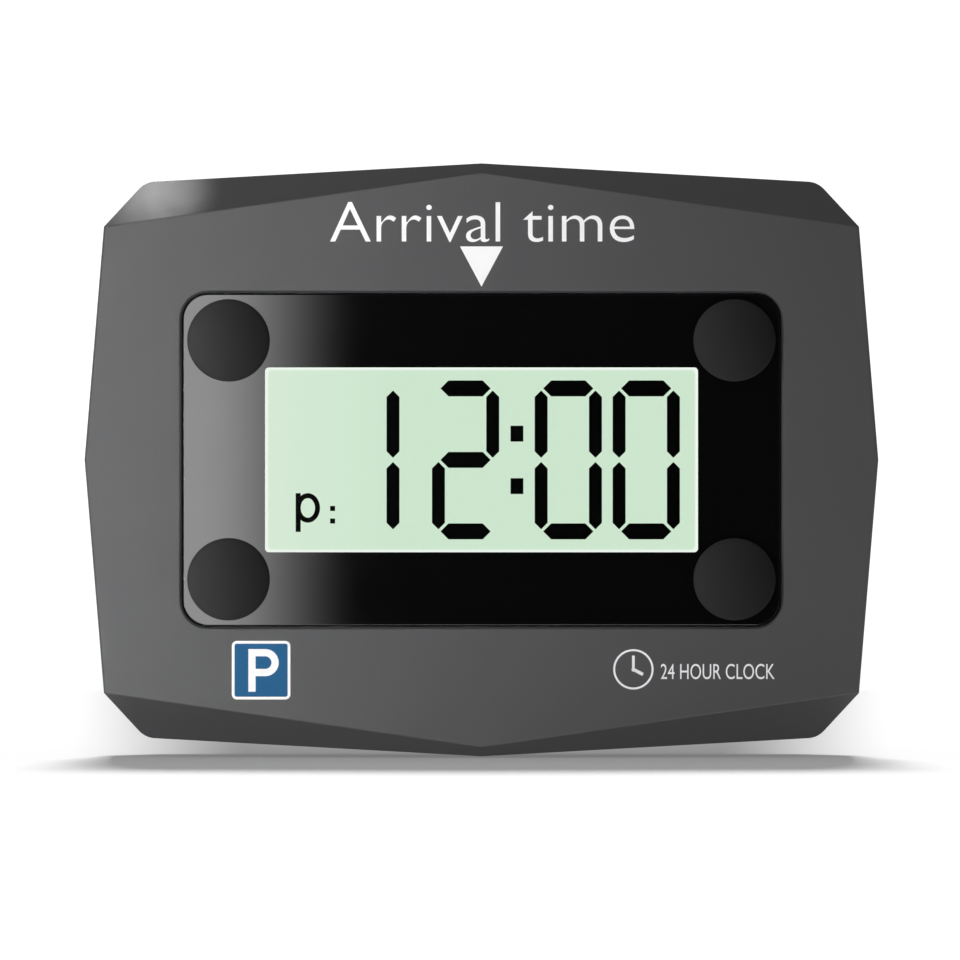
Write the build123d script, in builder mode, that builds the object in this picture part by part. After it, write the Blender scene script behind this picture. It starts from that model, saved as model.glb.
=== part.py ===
from build123d import *
from math import hypot
import os

# An electronic parking disc: a flat, faceted case that sticks to the inside of a windscreen by four
# foam pads and shows the time of arrival on a liquid crystal display.
# Millimetres. X is to the right and Z is up as seen from in front of the display, and Y runs into the
# case. The origin is the middle of the plane where the four pads meet the windscreen.

os.makedirs("parts", exist_ok=True)

# ---- case, outside -------------------------------------------------------------------------------
case_width = 107.0  # from side ridge to side ridge
case_height = 80.0  # from top ridge to bottom ridge, before they are rounded
pad_thickness = 1.2  # foam pad, from the windscreen to the window
window_sink = 0.4  # how far the window lies below the front face
side_rake = 2.6  # how far the shoulders stand in from the side ridges
shoulder_drop = 8.6  # how far the shoulders lie below the ridge
corner_cut = 5.4  # width of the cut corners
ridge_rise = 2.4  # how far the ridge stands above the cut corners
facet_drop = 1.3  # height of the front facets at the ridge
facet_slope = 1.0  # how far the front facets run back for each millimetre outward
cut_round = 3.0  # radius at the cut corners
ridge_round = 60.0  # radius on the top and bottom ridges
side_round = 20.0  # radius on the side ridges
rear_bevel_width = 3.0
rear_bevel_depth = 4.0
front_edge_round = 0.35
wall = 2.0

# ---- case, joint between the two covers ----------------------------------------------------------
seam_step = 0.6  # from the front of the battery bay back to the seam between the covers
seam_chamfer = 0.25
lip_height = 1.3
lip_gap = 0.1
screw_spot_in = 7.7  # case screws, in from the shoulders
screw_spot_down = 5.4
screw_boss_radius = 3.0
rear_boss_wall = 1.0  # around each screw head
screw_boss_height = 3.0  # how far the front bosses stand behind the seam
screw_seat = 3.0  # material under each screw head
screw_head_radius = 2.5
screw_head_height = 1.8
screw_head_gap = 0.3
screw_shank_radius = 1.3
screw_length = 9.5
screw_pitch = 0.9
screw_pilot_radius = 1.05
cross_width = 0.5  # cross slot in each head
cross_reach = 0.55  # its half length and its depth, as parts of the head's radius and height

# ---- window and display --------------------------------------------------------------------------
window_width = 80.9  # the recess that the window lies in
window_height = 45.1
window_round = 3.6
window_gap = 0.15
window_thickness = 1.5
window_edge_chamfer = 0.3
window_bevel = 0.15
tape_thickness = 0.2
tape_inset = 0.3
view_width = 58.4  # what shows of the display
view_height = 24.9
view_margin = 1.0  # by which the ledge stands clear of the view
view_corner = 0.8
ledge_thickness = 1.2
ledge_wall = 1.6
gasket_thickness = 0.6
gasket_width = 1.2
film_thickness = 0.2  # polariser and reflector
glass_thickness = 1.1
cell_gap = 0.1  # between the two glasses
glass_side = 2.8  # glass beyond the view at the sides
glass_foot = 1.95  # and at the bottom
glass_head = 2.35  # and at the top
contact_ledge = 3.2  # by which the front glass stands above the rear one
film_inset = 0.5
seal_inset = 0.3
seal_width = 0.8
holder_gap = 0.15
holder_wall = 1.2
holder_shelf = 1.4
holder_shelf_thickness = 0.6
holder_shelf_gap = 0.05
holder_foot = 4.0
zebra_width = 1.8
zebra_inset = 3.0
zebra_edge = 0.6  # from the front glass's top edge
zebra_gap = 0.1
zebra_round = 0.3

# ---- digits --------------------------------------------------------------------------------------
digit_height = 21.5
digit_width = 9.1
bar_upright = 1.75  # width of the upright bars
bar_level = 2.15  # width of the level bars
bar_gap = 0.28  # slit between neighbouring bars
digit_right_edges = (-11.1, 2.4, 16.3, 26.85)
digits = ("bc", "abged", "abcdef", "abcdef")
colon_x = 4.8
colon_z = 3.55
colon_width = 1.74
colon_height = 2.15
letter_x = -23.5
letter_z = -6.5
letter_half_width = 1.65
letter_half_height = 2.0
letter_stroke = 0.68
letter_stem = 5.25
letter_colon_x = 3.35  # to the right of the letter's middle
letter_colon_z = (-0.07, -1.77)

# ---- circuit board -------------------------------------------------------------------------------
board_thickness = 1.6
board_gap = 0.4
board_top_gap = 1.6
post_radius = 2.2
post_bore = 0.8
post_edge = 2.8  # posts, in from the board's edges
post_floor = 0.4  # solid part of each post behind the ledge
board_corner = 1.0
hole_gap = 0.2  # between a screw and the hole that it passes through
board_screw_radius = 1.0
board_screw_head = 1.9
board_screw_head_height = 1.2
board_screw_length = 6.0
board_screw_pitch = 0.7
thread_bite = 0.08  # by which a screw's core is thinner than its pilot hole
board_stack = 3.1  # from the display's back film to the board

# ---- cells ---------------------------------------------------------------------------------------
cell_diameter = 10.3
cell_length = 44.5
cell_nub_radius = 1.9
cell_nub_height = 1.0
cell_sleeve = 0.15
bay_play = 0.3  # between the cells, and between them and the bay
bay_wall = 1.2
bay_floor = 1.0
bay_clear = 0.35  # between the display's holder and the bay
bay_drop = 0.45  # bay clear of the case's bottom wall
cell_headroom = 0.65  # between the cells and the door
cell_shoulder = 0.5  # bare metal at each end of a cell's sleeve
cell_edge_round = 0.4
plate_thickness = 0.4
plate_width = 7.0
plate_margin = 3.6  # plate beyond the cells' axes
plate_dimple = 0.6
dimple_radius = 1.8
dimple_taper = 25.0
spring_length = 4.6
spring_wire = 0.45
spring_radius = 3.3
spring_pitch = 1.3
spring_cone = -14.0
tail_width = 2.4
tail_gap = 0.15

# ---- battery door --------------------------------------------------------------------------------
door_thickness = 1.5
door_gap = 0.25
door_corner = 1.2
recess_gap = 0.1  # under the door
door_side = 1.9  # door beyond the bay at the sides
door_head = 2.2  # and at the top
door_foot = 0.4  # and at the bottom
door_tab_width = 6.0
door_tab_reach = 1.5
door_tab_thickness = 1.2
door_tab_spread = 15.0
door_tab_root = 1.5
tab_gap = 0.1  # between a tab and the rear wall
tab_side_gap = 0.4
tab_swing = 0.9  # room for a tab to swing
tab_slot_height = 4.8
door_finger_width = 10.0
door_finger_thickness = 0.9
door_finger_depth = 2.2
door_nib = 0.3
door_nib_gap = 0.15
foam_thickness = 0.9
foam_width = 24.0
foam_height = 3.0

# ---- setting button and its switch ---------------------------------------------------------------
button_width = 22.0
button_height = 11.0
button_up = 14.0
button_gap = 0.25
button_proud = 0.6
button_flange = 1.2
button_flange_thickness = 1.0
button_travel = 0.35
button_dish = 0.5
button_dish_radius = 40.0
button_edge_round = 0.5
button_rest_gap = 0.05  # between its flange and the rear wall
button_post_radius = 2.4
button_rib_length = 14.0
button_rib_width = 0.9
guide_wall = 1.0
guide_depth = 2.0
switch_size = 6.0
switch_body = 3.4
switch_height = 5.0
switch_lid = 0.2
plunger_radius = 1.75
plunger_gap = 0.08
plunger_flange = 0.45
plunger_flange_thickness = 0.7
switch_corner = 0.4
dome_radius = 2.1
dome_height = 0.45
dome_thickness = 0.1

# ---- sounder and electronics ---------------------------------------------------------------------
sounder_x = -30.0
sounder_radius = 10.0
sounder_brass = 0.2
sounder_ceramic_radius = 7.0
sounder_ceramic = 0.2
sounder_seat = 1.2
sounder_hole = 0.75
sounder_ring = 3.2
sounder_rim = 1.0
chip_size = 7.0
chip_height = 1.2
chip_x = 22.0
chip_z = 12.0
lead_count = 8
lead_pitch = 0.75
crystal_radius = 1.0
crystal_length = 6.0
pad_diameter = 11.1
pad_side_margin = 0.65  # from the pads to the window's edges
pad_level_margin = 0.75
pad_edge_round = 0.2
wire_radius = 0.6
wire_bend = 1.6
wire_gap = 0.3  # from the bay's wall to the nearer wire
wire_spacing = 0.8  # between the two battery wires
thin_wire_radius = 0.35
thin_wire_bend = 1.2
embed = 1.0  # by which added material starts inside the wall that it grows from

# ---- planes along the depth ----------------------------------------------------------------------
window_y = pad_thickness
front_y = window_y - window_sink
wall_front_y = front_y + wall
tape_y = window_y + window_thickness
ledge_y = tape_y + tape_thickness
ledge_back_y = ledge_y + ledge_thickness
film_y = ledge_back_y + gasket_thickness
glass_y = film_y + film_thickness
cell_gap_y = glass_y + glass_thickness
rear_glass_y = cell_gap_y + cell_gap
reflector_y = rear_glass_y + glass_thickness
display_back_y = reflector_y + film_thickness
board_y = display_back_y + board_stack
board_back_y = board_y + board_thickness
shelf_y = display_back_y + holder_shelf_gap
bay_floor_y = shelf_y + holder_shelf_thickness + bay_clear
bay_y = bay_floor_y + bay_floor
cell_y = bay_y + (bay_play + cell_diameter) / 2
door_inner_y = cell_y + cell_diameter / 2 + cell_headroom
rear_y = door_inner_y + door_thickness
wall_rear_y = rear_y - wall
seam_y = bay_floor_y + seam_step
boss_end_y = seam_y + screw_boss_height
head_seat_y = boss_end_y + screw_seat

# ---- outline, seen from the front ----------------------------------------------------------------
ridge_z = case_height / 2
side_x = case_width / 2
shoulder_x = side_x - side_rake
shoulder_z = ridge_z - shoulder_drop
cut_x = shoulder_x - corner_cut
cut_z = ridge_z - ridge_rise
right_side = [
    (0, ridge_z),
    (cut_x, cut_z),
    (shoulder_x, shoulder_z),
    (side_x, 0),
    (shoulder_x, -shoulder_z),
    (cut_x, -cut_z),
    (0, -ridge_z),
]
outline_points = right_side + [(-x, z) for x, z in reversed(right_side[1:-1])]


def facing(y):
    """A sketch plane parallel to the windscreen, seen from the front: an extrude by a negative
    amount runs into the case."""
    return Plane(origin=(0, y, 0), x_dir=(1, 0, 0), z_dir=(0, -1, 0))


def across(x):
    """A sketch plane square to the cells' length: sketch x is Y and sketch y is Z."""
    return Plane(origin=(x, 0, 0), x_dir=(0, 1, 0), z_dir=(1, 0, 0))


def outline(inset):
    """The case's outline in the open sketch, with every side moved in by inset."""
    Polygon(*outline_points, align=None)
    if inset:
        offset(amount=-inset, kind=Kind.INTERSECTION)
    rows = vertices().group_by(Axis.Y)
    fillet(rows[1] + rows[-2], max(cut_round - inset, 0.3))
    fillet(rows[0] + rows[-1], ridge_round - inset)
    fillet(rows[3], side_round - inset)


def outward(start, end):
    """The level direction that points out of the case from the outline's side start to end."""
    along = Vector(end[0] - start[0], 0, end[1] - start[1]).normalized()
    square = Vector(along.Z, 0, -along.X)
    middle = Vector(start[0] + end[0], 0, start[1] + end[1])
    return square if square.dot(middle) > 0 else square * -1


def facet_planes(inset):
    """The four front facets, from each shoulder to the ridge."""
    for right in (-1, 1):
        for up in (-1, 1):
            shoulder = (right * shoulder_x, up * shoulder_z)
            ridge = (0, up * (ridge_z - facet_drop))
            normal = (outward(shoulder, ridge) * facet_slope - Vector(0, 1, 0)).normalized()
            yield Plane(Vector(shoulder[0], front_y, shoulder[1]) - normal * inset, z_dir=normal)


def bevel_planes(inset):
    """The bevels around the rear face, one for each side of the outline."""
    for start, end in zip(outline_points, outline_points[1:] + outline_points[:1]):
        slope = outward(start, end) * rear_bevel_depth + Vector(0, 1, 0) * rear_bevel_width
        normal = slope.normalized()
        corner = Vector(start[0], rear_y - rear_bevel_depth, start[1])
        yield Plane(corner - normal * inset, z_dir=normal)


def case_form(inset):
    """The case as one block, with every face moved in by inset."""
    with BuildPart() as form:
        with BuildSketch(facing(front_y + inset)):
            outline(inset)
        extrude(amount=-(rear_y - front_y - 2 * inset))
        for plane in (*facet_planes(inset), *bevel_planes(inset)):
            split(bisect_by=plane, keep=Keep.BOTTOM)
    return form.part


def ring_of(inset, thickness, y, depth):
    """A band that follows the outline, from inset to inset + thickness, as a solid."""
    with BuildPart() as band:
        with BuildSketch(facing(y)):
            outline(inset)
        extrude(amount=-depth)
        with BuildSketch(facing(y)):
            outline(inset + thickness)
        extrude(amount=-depth, mode=Mode.SUBTRACT)
    return band.part


def save(part, name):
    """Labels a finished piece and writes it as its own node."""
    part.label = name
    export_step(part, f"parts/{name}.step")


def pocket(width, height, radius, y, depth, mode=Mode.ADD):
    """A rounded rectangle about the middle of the window, extruded into the case."""
    with BuildSketch(facing(y)) as shape:
        RectangleRounded(width, height, radius)
    extrude(shape.sketch, amount=-depth, mode=mode)


seam_front = Plane((0, seam_y, 0), z_dir=(0, 1, 0))
with BuildPart() as outer:
    add(case_form(0))
    fillet(faces().sort_by(Axis.Y)[0].edges(), front_edge_round)
outer_form = outer.part
inner_form = case_form(wall)

corners = [(right, up) for right in (-1, 1) for up in (-1, 1)]
side_names = {-1: "left", 1: "right"}
level_names = {-1: "lower", 1: "upper"}
screw_x = shoulder_x - screw_spot_in
screw_z = shoulder_z - screw_spot_down
screw_spots = [(right * screw_x, up * screw_z) for right, up in corners]

# The bay for the two cells, low in the case: half its length, its edges and the cells' centres.
bay_half = (cell_length + 2 * plate_thickness + plate_dimple + spring_length + bay_play) / 2
bay_slope = ridge_rise / cut_x
bay_bottom = -(ridge_z - bay_slope * bay_half - wall - bay_drop)
bay_top = bay_bottom + 2 * cell_diameter + 3 * bay_play
cell_z = {
    "lower": bay_bottom + bay_play + cell_diameter / 2,
    "upper": bay_top - bay_play - cell_diameter / 2,
}

# The circuit board, between the screw bosses and above the bay.
rear_boss_radius = screw_head_radius + screw_head_gap + rear_boss_wall
board_right = screw_x - rear_boss_radius - board_gap
board_top = cut_z - wall - board_top_gap
board_bottom = bay_top + bay_wall + board_gap
post_x = board_right - post_edge
post_spots = [
    (right * post_x, z) for right in (-1, 1) for z in (board_top - post_edge, board_bottom + post_edge)
]

# The door, its hinge edge at the top of its recess in the rear face.
door_right = bay_half + door_side
door_top = bay_top + door_head
door_bottom = bay_bottom - door_foot


# The battery wires run up beside the bay's left wall, the plus wire nearest to it.
wire_x = {
    "upper": -bay_half - bay_wall - wire_gap - wire_radius,
    "lower": -bay_half - bay_wall - wire_gap - 3 * wire_radius - wire_spacing,
}


def tail(name, gap, mode=Mode.ADD):
    """The strip that leads from a left-hand contact through the bay's wall to its wire."""
    end = wire_x[name] - wire_radius
    with BuildSketch(facing(cell_y - tail_width / 2 - gap)) as shape:
        with Locations(((end - bay_half + plate_thickness / 2) / 2, cell_z[name])):
            Rectangle(plate_thickness / 2 - bay_half - end, plate_thickness + 2 * gap)
    extrude(shape.sketch, amount=-(tail_width + 2 * gap), mode=mode)


def door_sketch(grow):
    """The door's outline, grown by its gap, in a sketch that lies behind the case."""
    with BuildSketch(facing(rear_y + embed)) as shape:
        with Locations((0, (door_top + door_bottom) / 2)):
            height = door_top - door_bottom + 2 * grow
            RectangleRounded(2 * (door_right + grow), height, door_corner + grow)
    return shape.sketch


door_reach = rear_bevel_depth + door_thickness + 2 * embed  # deep enough to pass the bevel


# ---- front cover ---------------------------------------------------------------------------------
with BuildPart() as front_cover:
    add(outer_form)
    add(inner_form, mode=Mode.SUBTRACT)
    split(bisect_by=seam_front, keep=Keep.BOTTOM)
    chamfer(faces().sort_by(Axis.Y)[-1].outer_wire().edges(), seam_chamfer)
    with BuildSketch(facing(seam_y - lip_height - lip_gap)):
        outline(wall / 2)
    extrude(amount=-(lip_height + lip_gap), mode=Mode.SUBTRACT)
    pocket(
        window_width + 2 * ledge_wall,
        window_height + 2 * ledge_wall,
        window_round + ledge_wall,
        wall_front_y - embed,
        ledge_back_y - wall_front_y + embed,
    )
    with BuildSketch(facing(wall_front_y - embed)):
        with Locations(*screw_spots):
            Circle(screw_boss_radius)
    extrude(amount=-(boss_end_y - wall_front_y + embed))
    with BuildSketch(facing(boss_end_y)):
        with Locations(*screw_spots):
            Circle(screw_pilot_radius)
    extrude(amount=boss_end_y - wall_front_y - embed, mode=Mode.SUBTRACT)
    with BuildSketch(facing(wall_front_y - embed)):
        with Locations(*post_spots):
            Circle(post_radius)
    extrude(amount=-(board_y - wall_front_y + embed))
    with BuildSketch(facing(board_y)):
        with Locations(*post_spots):
            Circle(post_bore)
    extrude(amount=board_y - ledge_back_y - post_floor, mode=Mode.SUBTRACT)
    pocket(window_width, window_height, window_round, front_y, ledge_y - front_y, Mode.SUBTRACT)
    pocket(
        view_width + 2 * view_margin,
        view_height + 2 * view_margin,
        view_corner,
        ledge_y,
        ledge_thickness,
        Mode.SUBTRACT,
    )
    rim = faces().filter_by(Plane.XZ).sort_by(Axis.Y)[0].inner_wires().edges()
    chamfer(rim, window_edge_chamfer)
save(front_cover.part, "front_cover")

# ---- window, its tape and the pads on it ---------------------------------------------------------
with BuildPart() as display_window:
    pocket(
        window_width - 2 * window_gap,
        window_height - 2 * window_gap,
        window_round - window_gap,
        window_y,
        window_thickness,
    )
    chamfer(faces().sort_by(Axis.Y)[0].edges(), window_bevel)
save(display_window.part, "display_window")

with BuildPart() as window_tape:
    pocket(
        window_width - 2 * window_gap - 2 * tape_inset,
        window_height - 2 * window_gap - 2 * tape_inset,
        window_round - window_gap - tape_inset,
        tape_y,
        tape_thickness,
    )
    pocket(
        view_width + 2 * view_margin + 2 * tape_inset,
        view_height + 2 * view_margin + 2 * tape_inset,
        view_corner + tape_inset,
        tape_y,
        tape_thickness,
        Mode.SUBTRACT,
    )
save(window_tape.part, "window_tape")

pad_x = window_width / 2 - window_gap - pad_side_margin - pad_diameter / 2
pad_z = window_height / 2 - window_gap - pad_level_margin - pad_diameter / 2
for right, up in corners:
    with BuildPart() as pad:
        with BuildSketch(facing(0)):
            with Locations((right * pad_x, up * pad_z)):
                Circle(pad_diameter / 2)
        extrude(amount=-pad_thickness)
        fillet(edges().filter_by(GeomType.CIRCLE).sort_by(Axis.Y)[0], pad_edge_round)
    save(pad.part, f"adhesive_pad_{level_names[up]}_{side_names[right]}")

# ---- display -------------------------------------------------------------------------------------
glass_right = view_width / 2 + glass_side
glass_bottom = -view_height / 2 - glass_foot
rear_glass_top = view_height / 2 + glass_head
front_glass_top = rear_glass_top + contact_ledge


def slab(right, bottom, top, y, depth, mode=Mode.ADD):
    """A plate from -right to right and from bottom to top, that starts at y."""
    with BuildSketch(facing(y)) as shape:
        with Locations((0, (bottom + top) / 2)):
            Rectangle(2 * right, top - bottom)
    extrude(shape.sketch, amount=-depth, mode=mode)


with BuildPart() as display_gasket:
    slab(
        glass_right - film_inset,
        glass_bottom + film_inset,
        rear_glass_top - film_inset,
        ledge_back_y,
        gasket_thickness,
    )
    slab(
        glass_right - film_inset - gasket_width,
        glass_bottom + film_inset + gasket_width,
        rear_glass_top - film_inset - gasket_width,
        ledge_back_y,
        gasket_thickness,
        Mode.SUBTRACT,
    )
save(display_gasket.part, "display_gasket")

with BuildPart() as polariser:
    slab(
        glass_right - film_inset,
        glass_bottom + film_inset,
        rear_glass_top - film_inset,
        film_y,
        film_thickness,
    )
save(polariser.part, "display_polariser")

with BuildPart() as front_glass:
    slab(glass_right, glass_bottom, front_glass_top, glass_y, glass_thickness)
save(front_glass.part, "display_front_glass")

with BuildPart() as seal:
    slab(
        glass_right - seal_inset,
        glass_bottom + seal_inset,
        rear_glass_top - seal_inset,
        cell_gap_y,
        cell_gap,
    )
    slab(
        glass_right - seal_inset - seal_width,
        glass_bottom + seal_inset + seal_width,
        rear_glass_top - seal_inset - seal_width,
        cell_gap_y,
        cell_gap,
        Mode.SUBTRACT,
    )
save(seal.part, "display_seal")


def bar(start, end, width):
    """One bar of a digit: a strip with pointed ends from start to end."""
    (x0, z0), (x1, z1) = start, end
    length = hypot(x1 - x0, z1 - z0)
    ux, uz = (x1 - x0) / length * width / 2, (z1 - z0) / length * width / 2
    Polygon(
        (x0, z0),
        (x0 + ux - uz, z0 + uz + ux),
        (x1 - ux - uz, z1 - uz + ux),
        (x1, z1),
        (x1 - ux + uz, z1 - uz - ux),
        (x0 + ux + uz, z0 + uz - ux),
        align=None,
    )


def digit(right_edge, bars):
    """The bars a to g of one digit, whose outer right edge is given."""
    right = right_edge - bar_upright / 2
    left = right_edge - digit_width + bar_upright / 2
    top = digit_height / 2 - bar_level / 2
    slit = bar_gap
    ends = {
        "a": ((left + slit, top), (right - slit, top), bar_level),
        "b": ((right, slit), (right, top - slit), bar_upright),
        "c": ((right, -top + slit), (right, -slit), bar_upright),
        "d": ((left + slit, -top), (right - slit, -top), bar_level),
        "e": ((left, -top + slit), (left, -slit), bar_upright),
        "f": ((left, slit), (left, top - slit), bar_upright),
        "g": ((left + slit, 0), (right - slit, 0), bar_level),
    }
    for name in bars:
        bar(*ends[name])


with BuildPart() as segments:
    with BuildSketch(facing(cell_gap_y)):
        for right_edge, bars in zip(digit_right_edges, digits):
            digit(right_edge, bars)
        with Locations((colon_x, colon_z), (colon_x, -colon_z)):
            Rectangle(colon_width, colon_height)
        with Locations((letter_x, letter_z)):
            with BuildSketch(mode=Mode.PRIVATE) as bowl:
                Ellipse(letter_half_width, letter_half_height)
                inner = (letter_half_width - letter_stroke, letter_half_height - letter_stroke)
                Ellipse(*inner, mode=Mode.SUBTRACT)
            add(bowl.sketch)
            with Locations((-letter_half_width, letter_half_height)):
                Rectangle(letter_stroke, letter_stem, align=(Align.MIN, Align.MAX))
            with Locations(*((letter_colon_x, z) for z in letter_colon_z)):
                Rectangle(letter_stroke, letter_stroke)
    extrude(amount=-cell_gap)
save(segments.part, "display_segments")

with BuildPart() as rear_glass:
    slab(glass_right, glass_bottom, rear_glass_top, rear_glass_y, glass_thickness)
save(rear_glass.part, "display_rear_glass")

with BuildPart() as reflector:
    slab(
        glass_right - film_inset,
        glass_bottom + film_inset,
        rear_glass_top - film_inset,
        reflector_y,
        film_thickness,
    )
save(reflector.part, "display_reflector")

# ---- display holder and contact strip ------------------------------------------------------------
zebra_z = front_glass_top - zebra_edge - zebra_width / 2
with BuildPart() as display_holder:
    grow = holder_gap + holder_wall
    slab(
        glass_right + grow,
        glass_bottom - grow,
        front_glass_top + grow,
        glass_y,
        shelf_y + holder_shelf_thickness - glass_y,
    )
    slab(
        glass_right + holder_gap,
        glass_bottom - holder_gap,
        front_glass_top + holder_gap,
        glass_y,
        shelf_y - glass_y,
        Mode.SUBTRACT,
    )
    slab(
        glass_right - holder_shelf,
        glass_bottom + holder_shelf,
        zebra_z + zebra_width / 2 + zebra_gap,
        shelf_y,
        holder_shelf_thickness,
        Mode.SUBTRACT,
    )
    foot_x = glass_right + grow - holder_foot / 2
    foot_levels = (board_bottom + holder_foot / 2, front_glass_top + grow - holder_foot / 2)
    with BuildSketch(facing(shelf_y)):
        with Locations(*[(right * foot_x, z) for right in (-1, 1) for z in foot_levels]):
            Rectangle(holder_foot, holder_foot)
    extrude(amount=-(board_y - shelf_y))
save(display_holder.part, "display_holder")

with BuildPart() as zebra:
    slab(
        glass_right - zebra_inset,
        zebra_z - zebra_width / 2,
        zebra_z + zebra_width / 2,
        cell_gap_y,
        board_y - cell_gap_y,
    )
    fillet(edges().filter_by(Axis.Y), zebra_round)
save(zebra.part, "contact_strip")

# ---- circuit board and what is soldered to it ----------------------------------------------------
switch_x, switch_z = 0, button_up
with BuildPart() as board:
    slab(board_right, board_bottom, board_top, board_y, board_thickness)
    fillet(edges().filter_by(Axis.Y), board_corner)
    with BuildSketch(facing(board_y)):
        with Locations(*post_spots):
            Circle(board_screw_radius + hole_gap)
    extrude(amount=-board_thickness, mode=Mode.SUBTRACT)
save(board.part, "circuit_board")


def on_board(x, z, width, height, tall, lift=0.0):
    """A block on the back of the board."""
    with BuildSketch(facing(board_back_y + lift)) as shape:
        with Locations((x, z)):
            Rectangle(width, height)
    extrude(shape.sketch, amount=-tall)


chip_lift = 0.15
with BuildPart() as chip:
    on_board(chip_x, chip_z, chip_size, chip_size, chip_height, chip_lift)
    chamfer(faces().sort_by(Axis.Y)[-1].edges(), 0.2)
    with BuildSketch(facing(board_back_y + chip_lift + chip_height)):
        with Locations((chip_x - chip_size / 2 + 1.2, chip_z + chip_size / 2 - 1.2)):
            Circle(0.4)
    extrude(amount=0.1, mode=Mode.SUBTRACT)
save(chip.part, "controller_chip")

with BuildPart() as leads:
    for turn in range(4):
        for n in range(lead_count):
            slide = (n - (lead_count - 1) / 2) * lead_pitch
            with BuildSketch(
                Plane(origin=(chip_x, board_back_y, chip_z), x_dir=(0, 1, 0), z_dir=(1, 0, 0))
                .rotated((0, 90 * turn, 0))
                .offset(slide)
            ):
                with BuildLine():
                    Polyline(
                        (0.65, chip_size / 2),
                        (0.65, chip_size / 2 + 0.55),
                        (0.0, chip_size / 2 + 0.7),
                        (0.0, chip_size / 2 + 1.2),
                        (0.15, chip_size / 2 + 1.2),
                        (0.15, chip_size / 2 + 0.8),
                        (0.8, chip_size / 2 + 0.65),
                        (0.8, chip_size / 2),
                        close=True,
                    )
                make_face()
            extrude(amount=0.15, both=True)
save(leads.part, "controller_leads")

crystal_x, crystal_z = chip_x + 9.0, chip_z + 4.0
with BuildPart() as crystal:
    with BuildSketch(Plane(origin=(crystal_x, board_back_y + crystal_radius, crystal_z), z_dir=(0, 0, 1))):
        Circle(crystal_radius)
    extrude(amount=crystal_length)
    fillet(faces().sort_by(Axis.Z)[-1].edges(), 0.4)
    fillet(faces().sort_by(Axis.Z)[0].edges(), 0.15)
save(crystal.part, "clock_crystal")

with BuildPart() as crystal_legs:
    leg_y = board_back_y + crystal_radius
    for x in (crystal_x - 0.35, crystal_x + 0.35):
        with BuildLine():
            FilletPolyline(
                (x, leg_y, crystal_z),
                (x, leg_y, crystal_z - 1.6),
                (x, board_back_y, crystal_z - 1.6),
                radius=0.5,
            )
        with BuildSketch(Plane((x, leg_y, crystal_z), z_dir=(0, 0, -1))):
            Circle(0.15)
        sweep()
save(crystal_legs.part, "crystal_legs")

with BuildPart() as sensor:
    on_board(chip_x, chip_z - 12.0, 3.0, 3.0, 1.0)
    chamfer(faces().sort_by(Axis.Y)[-1].edges(), 0.1)
save(sensor.part, "motion_sensor")

part_row = [4 * n - 6 for n in range(4)]
capacitor_spots = [(x, board_top - 5.0) for x in part_row]
capacitor_spots += [(chip_x - 7.5, chip_z + 6 - 3 * n) for n in range(3)]
resistor_spots = [(x, board_top - 8.5) for x in part_row]
resistor_spots += [(chip_x + 5 - 4 * n, chip_z + 9.5) for n in range(3)]
with BuildPart() as capacitors:
    for x, z in capacitor_spots:
        on_board(x, z, 2.0, 1.25, 0.9)
save(capacitors.part, "board_capacitors")
with BuildPart() as resistors:
    for x, z in resistor_spots:
        on_board(x, z, 2.0, 1.25, 0.5)
save(resistors.part, "board_resistors")

with BuildPart() as reservoir:
    can_z = chip_z - 12.0
    with BuildSketch(facing(board_back_y)):
        with Locations((-14.0, can_z)):
            Rectangle(6.6, 6.6)
    extrude(amount=-0.8)
    with BuildSketch(facing(board_back_y + 0.8)):
        with Locations((-14.0, can_z)):
            Circle(3.1)
    extrude(amount=-4.6)
    fillet(faces().sort_by(Axis.Y)[-1].edges(), 0.3)
save(reservoir.part, "reservoir_capacitor")

# ---- tactile switch under the setting button -----------------------------------------------------
switch_top_y = board_back_y + switch_body
plunger_top_y = board_back_y + switch_height
flange_y = switch_top_y - switch_lid - plunger_gap - plunger_flange_thickness
well_y = flange_y - button_travel - plunger_gap - dome_height
with BuildPart() as switch_base:
    on_board(switch_x, switch_z, switch_size, switch_size, switch_body - switch_lid)
    fillet(edges().filter_by(Axis.Y), switch_corner)
    with BuildSketch(facing(well_y)):
        with Locations((switch_x, switch_z)):
            Circle(plunger_radius + plunger_flange + plunger_gap)
    extrude(amount=-(switch_top_y - switch_lid - well_y), mode=Mode.SUBTRACT)
save(switch_base.part, "switch_base")

with BuildPart() as switch_lid_plate:
    on_board(switch_x, switch_z, switch_size, switch_size, switch_lid, switch_body - switch_lid)
    fillet(edges().filter_by(Axis.Y), switch_corner)
    with BuildSketch(facing(switch_top_y)):
        with Locations((switch_x, switch_z)):
            Circle(plunger_radius + plunger_gap)
    extrude(amount=switch_lid, mode=Mode.SUBTRACT)
save(switch_lid_plate.part, "switch_lid")

with BuildPart() as plunger:
    with BuildSketch(facing(flange_y)):
        with Locations((switch_x, switch_z)):
            Circle(plunger_radius + plunger_flange)
    extrude(amount=-plunger_flange_thickness)
    with BuildSketch(facing(flange_y)):
        with Locations((switch_x, switch_z)):
            Circle(plunger_radius)
    extrude(amount=-(plunger_top_y - flange_y))
    fillet(faces().sort_by(Axis.Y)[-1].edges(), 0.15)
save(plunger.part, "switch_plunger")

dome_ball = (dome_radius**2 + dome_height**2) / (2 * dome_height)
with BuildPart(Plane((switch_x, well_y + dome_height - dome_ball, switch_z))) as dome:
    Sphere(dome_ball)
    Sphere(dome_ball - dome_thickness, mode=Mode.SUBTRACT)
    split(bisect_by=Plane((0, well_y, 0), z_dir=(0, 1, 0)), keep=Keep.TOP)
save(dome.part, "switch_dome")

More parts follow.
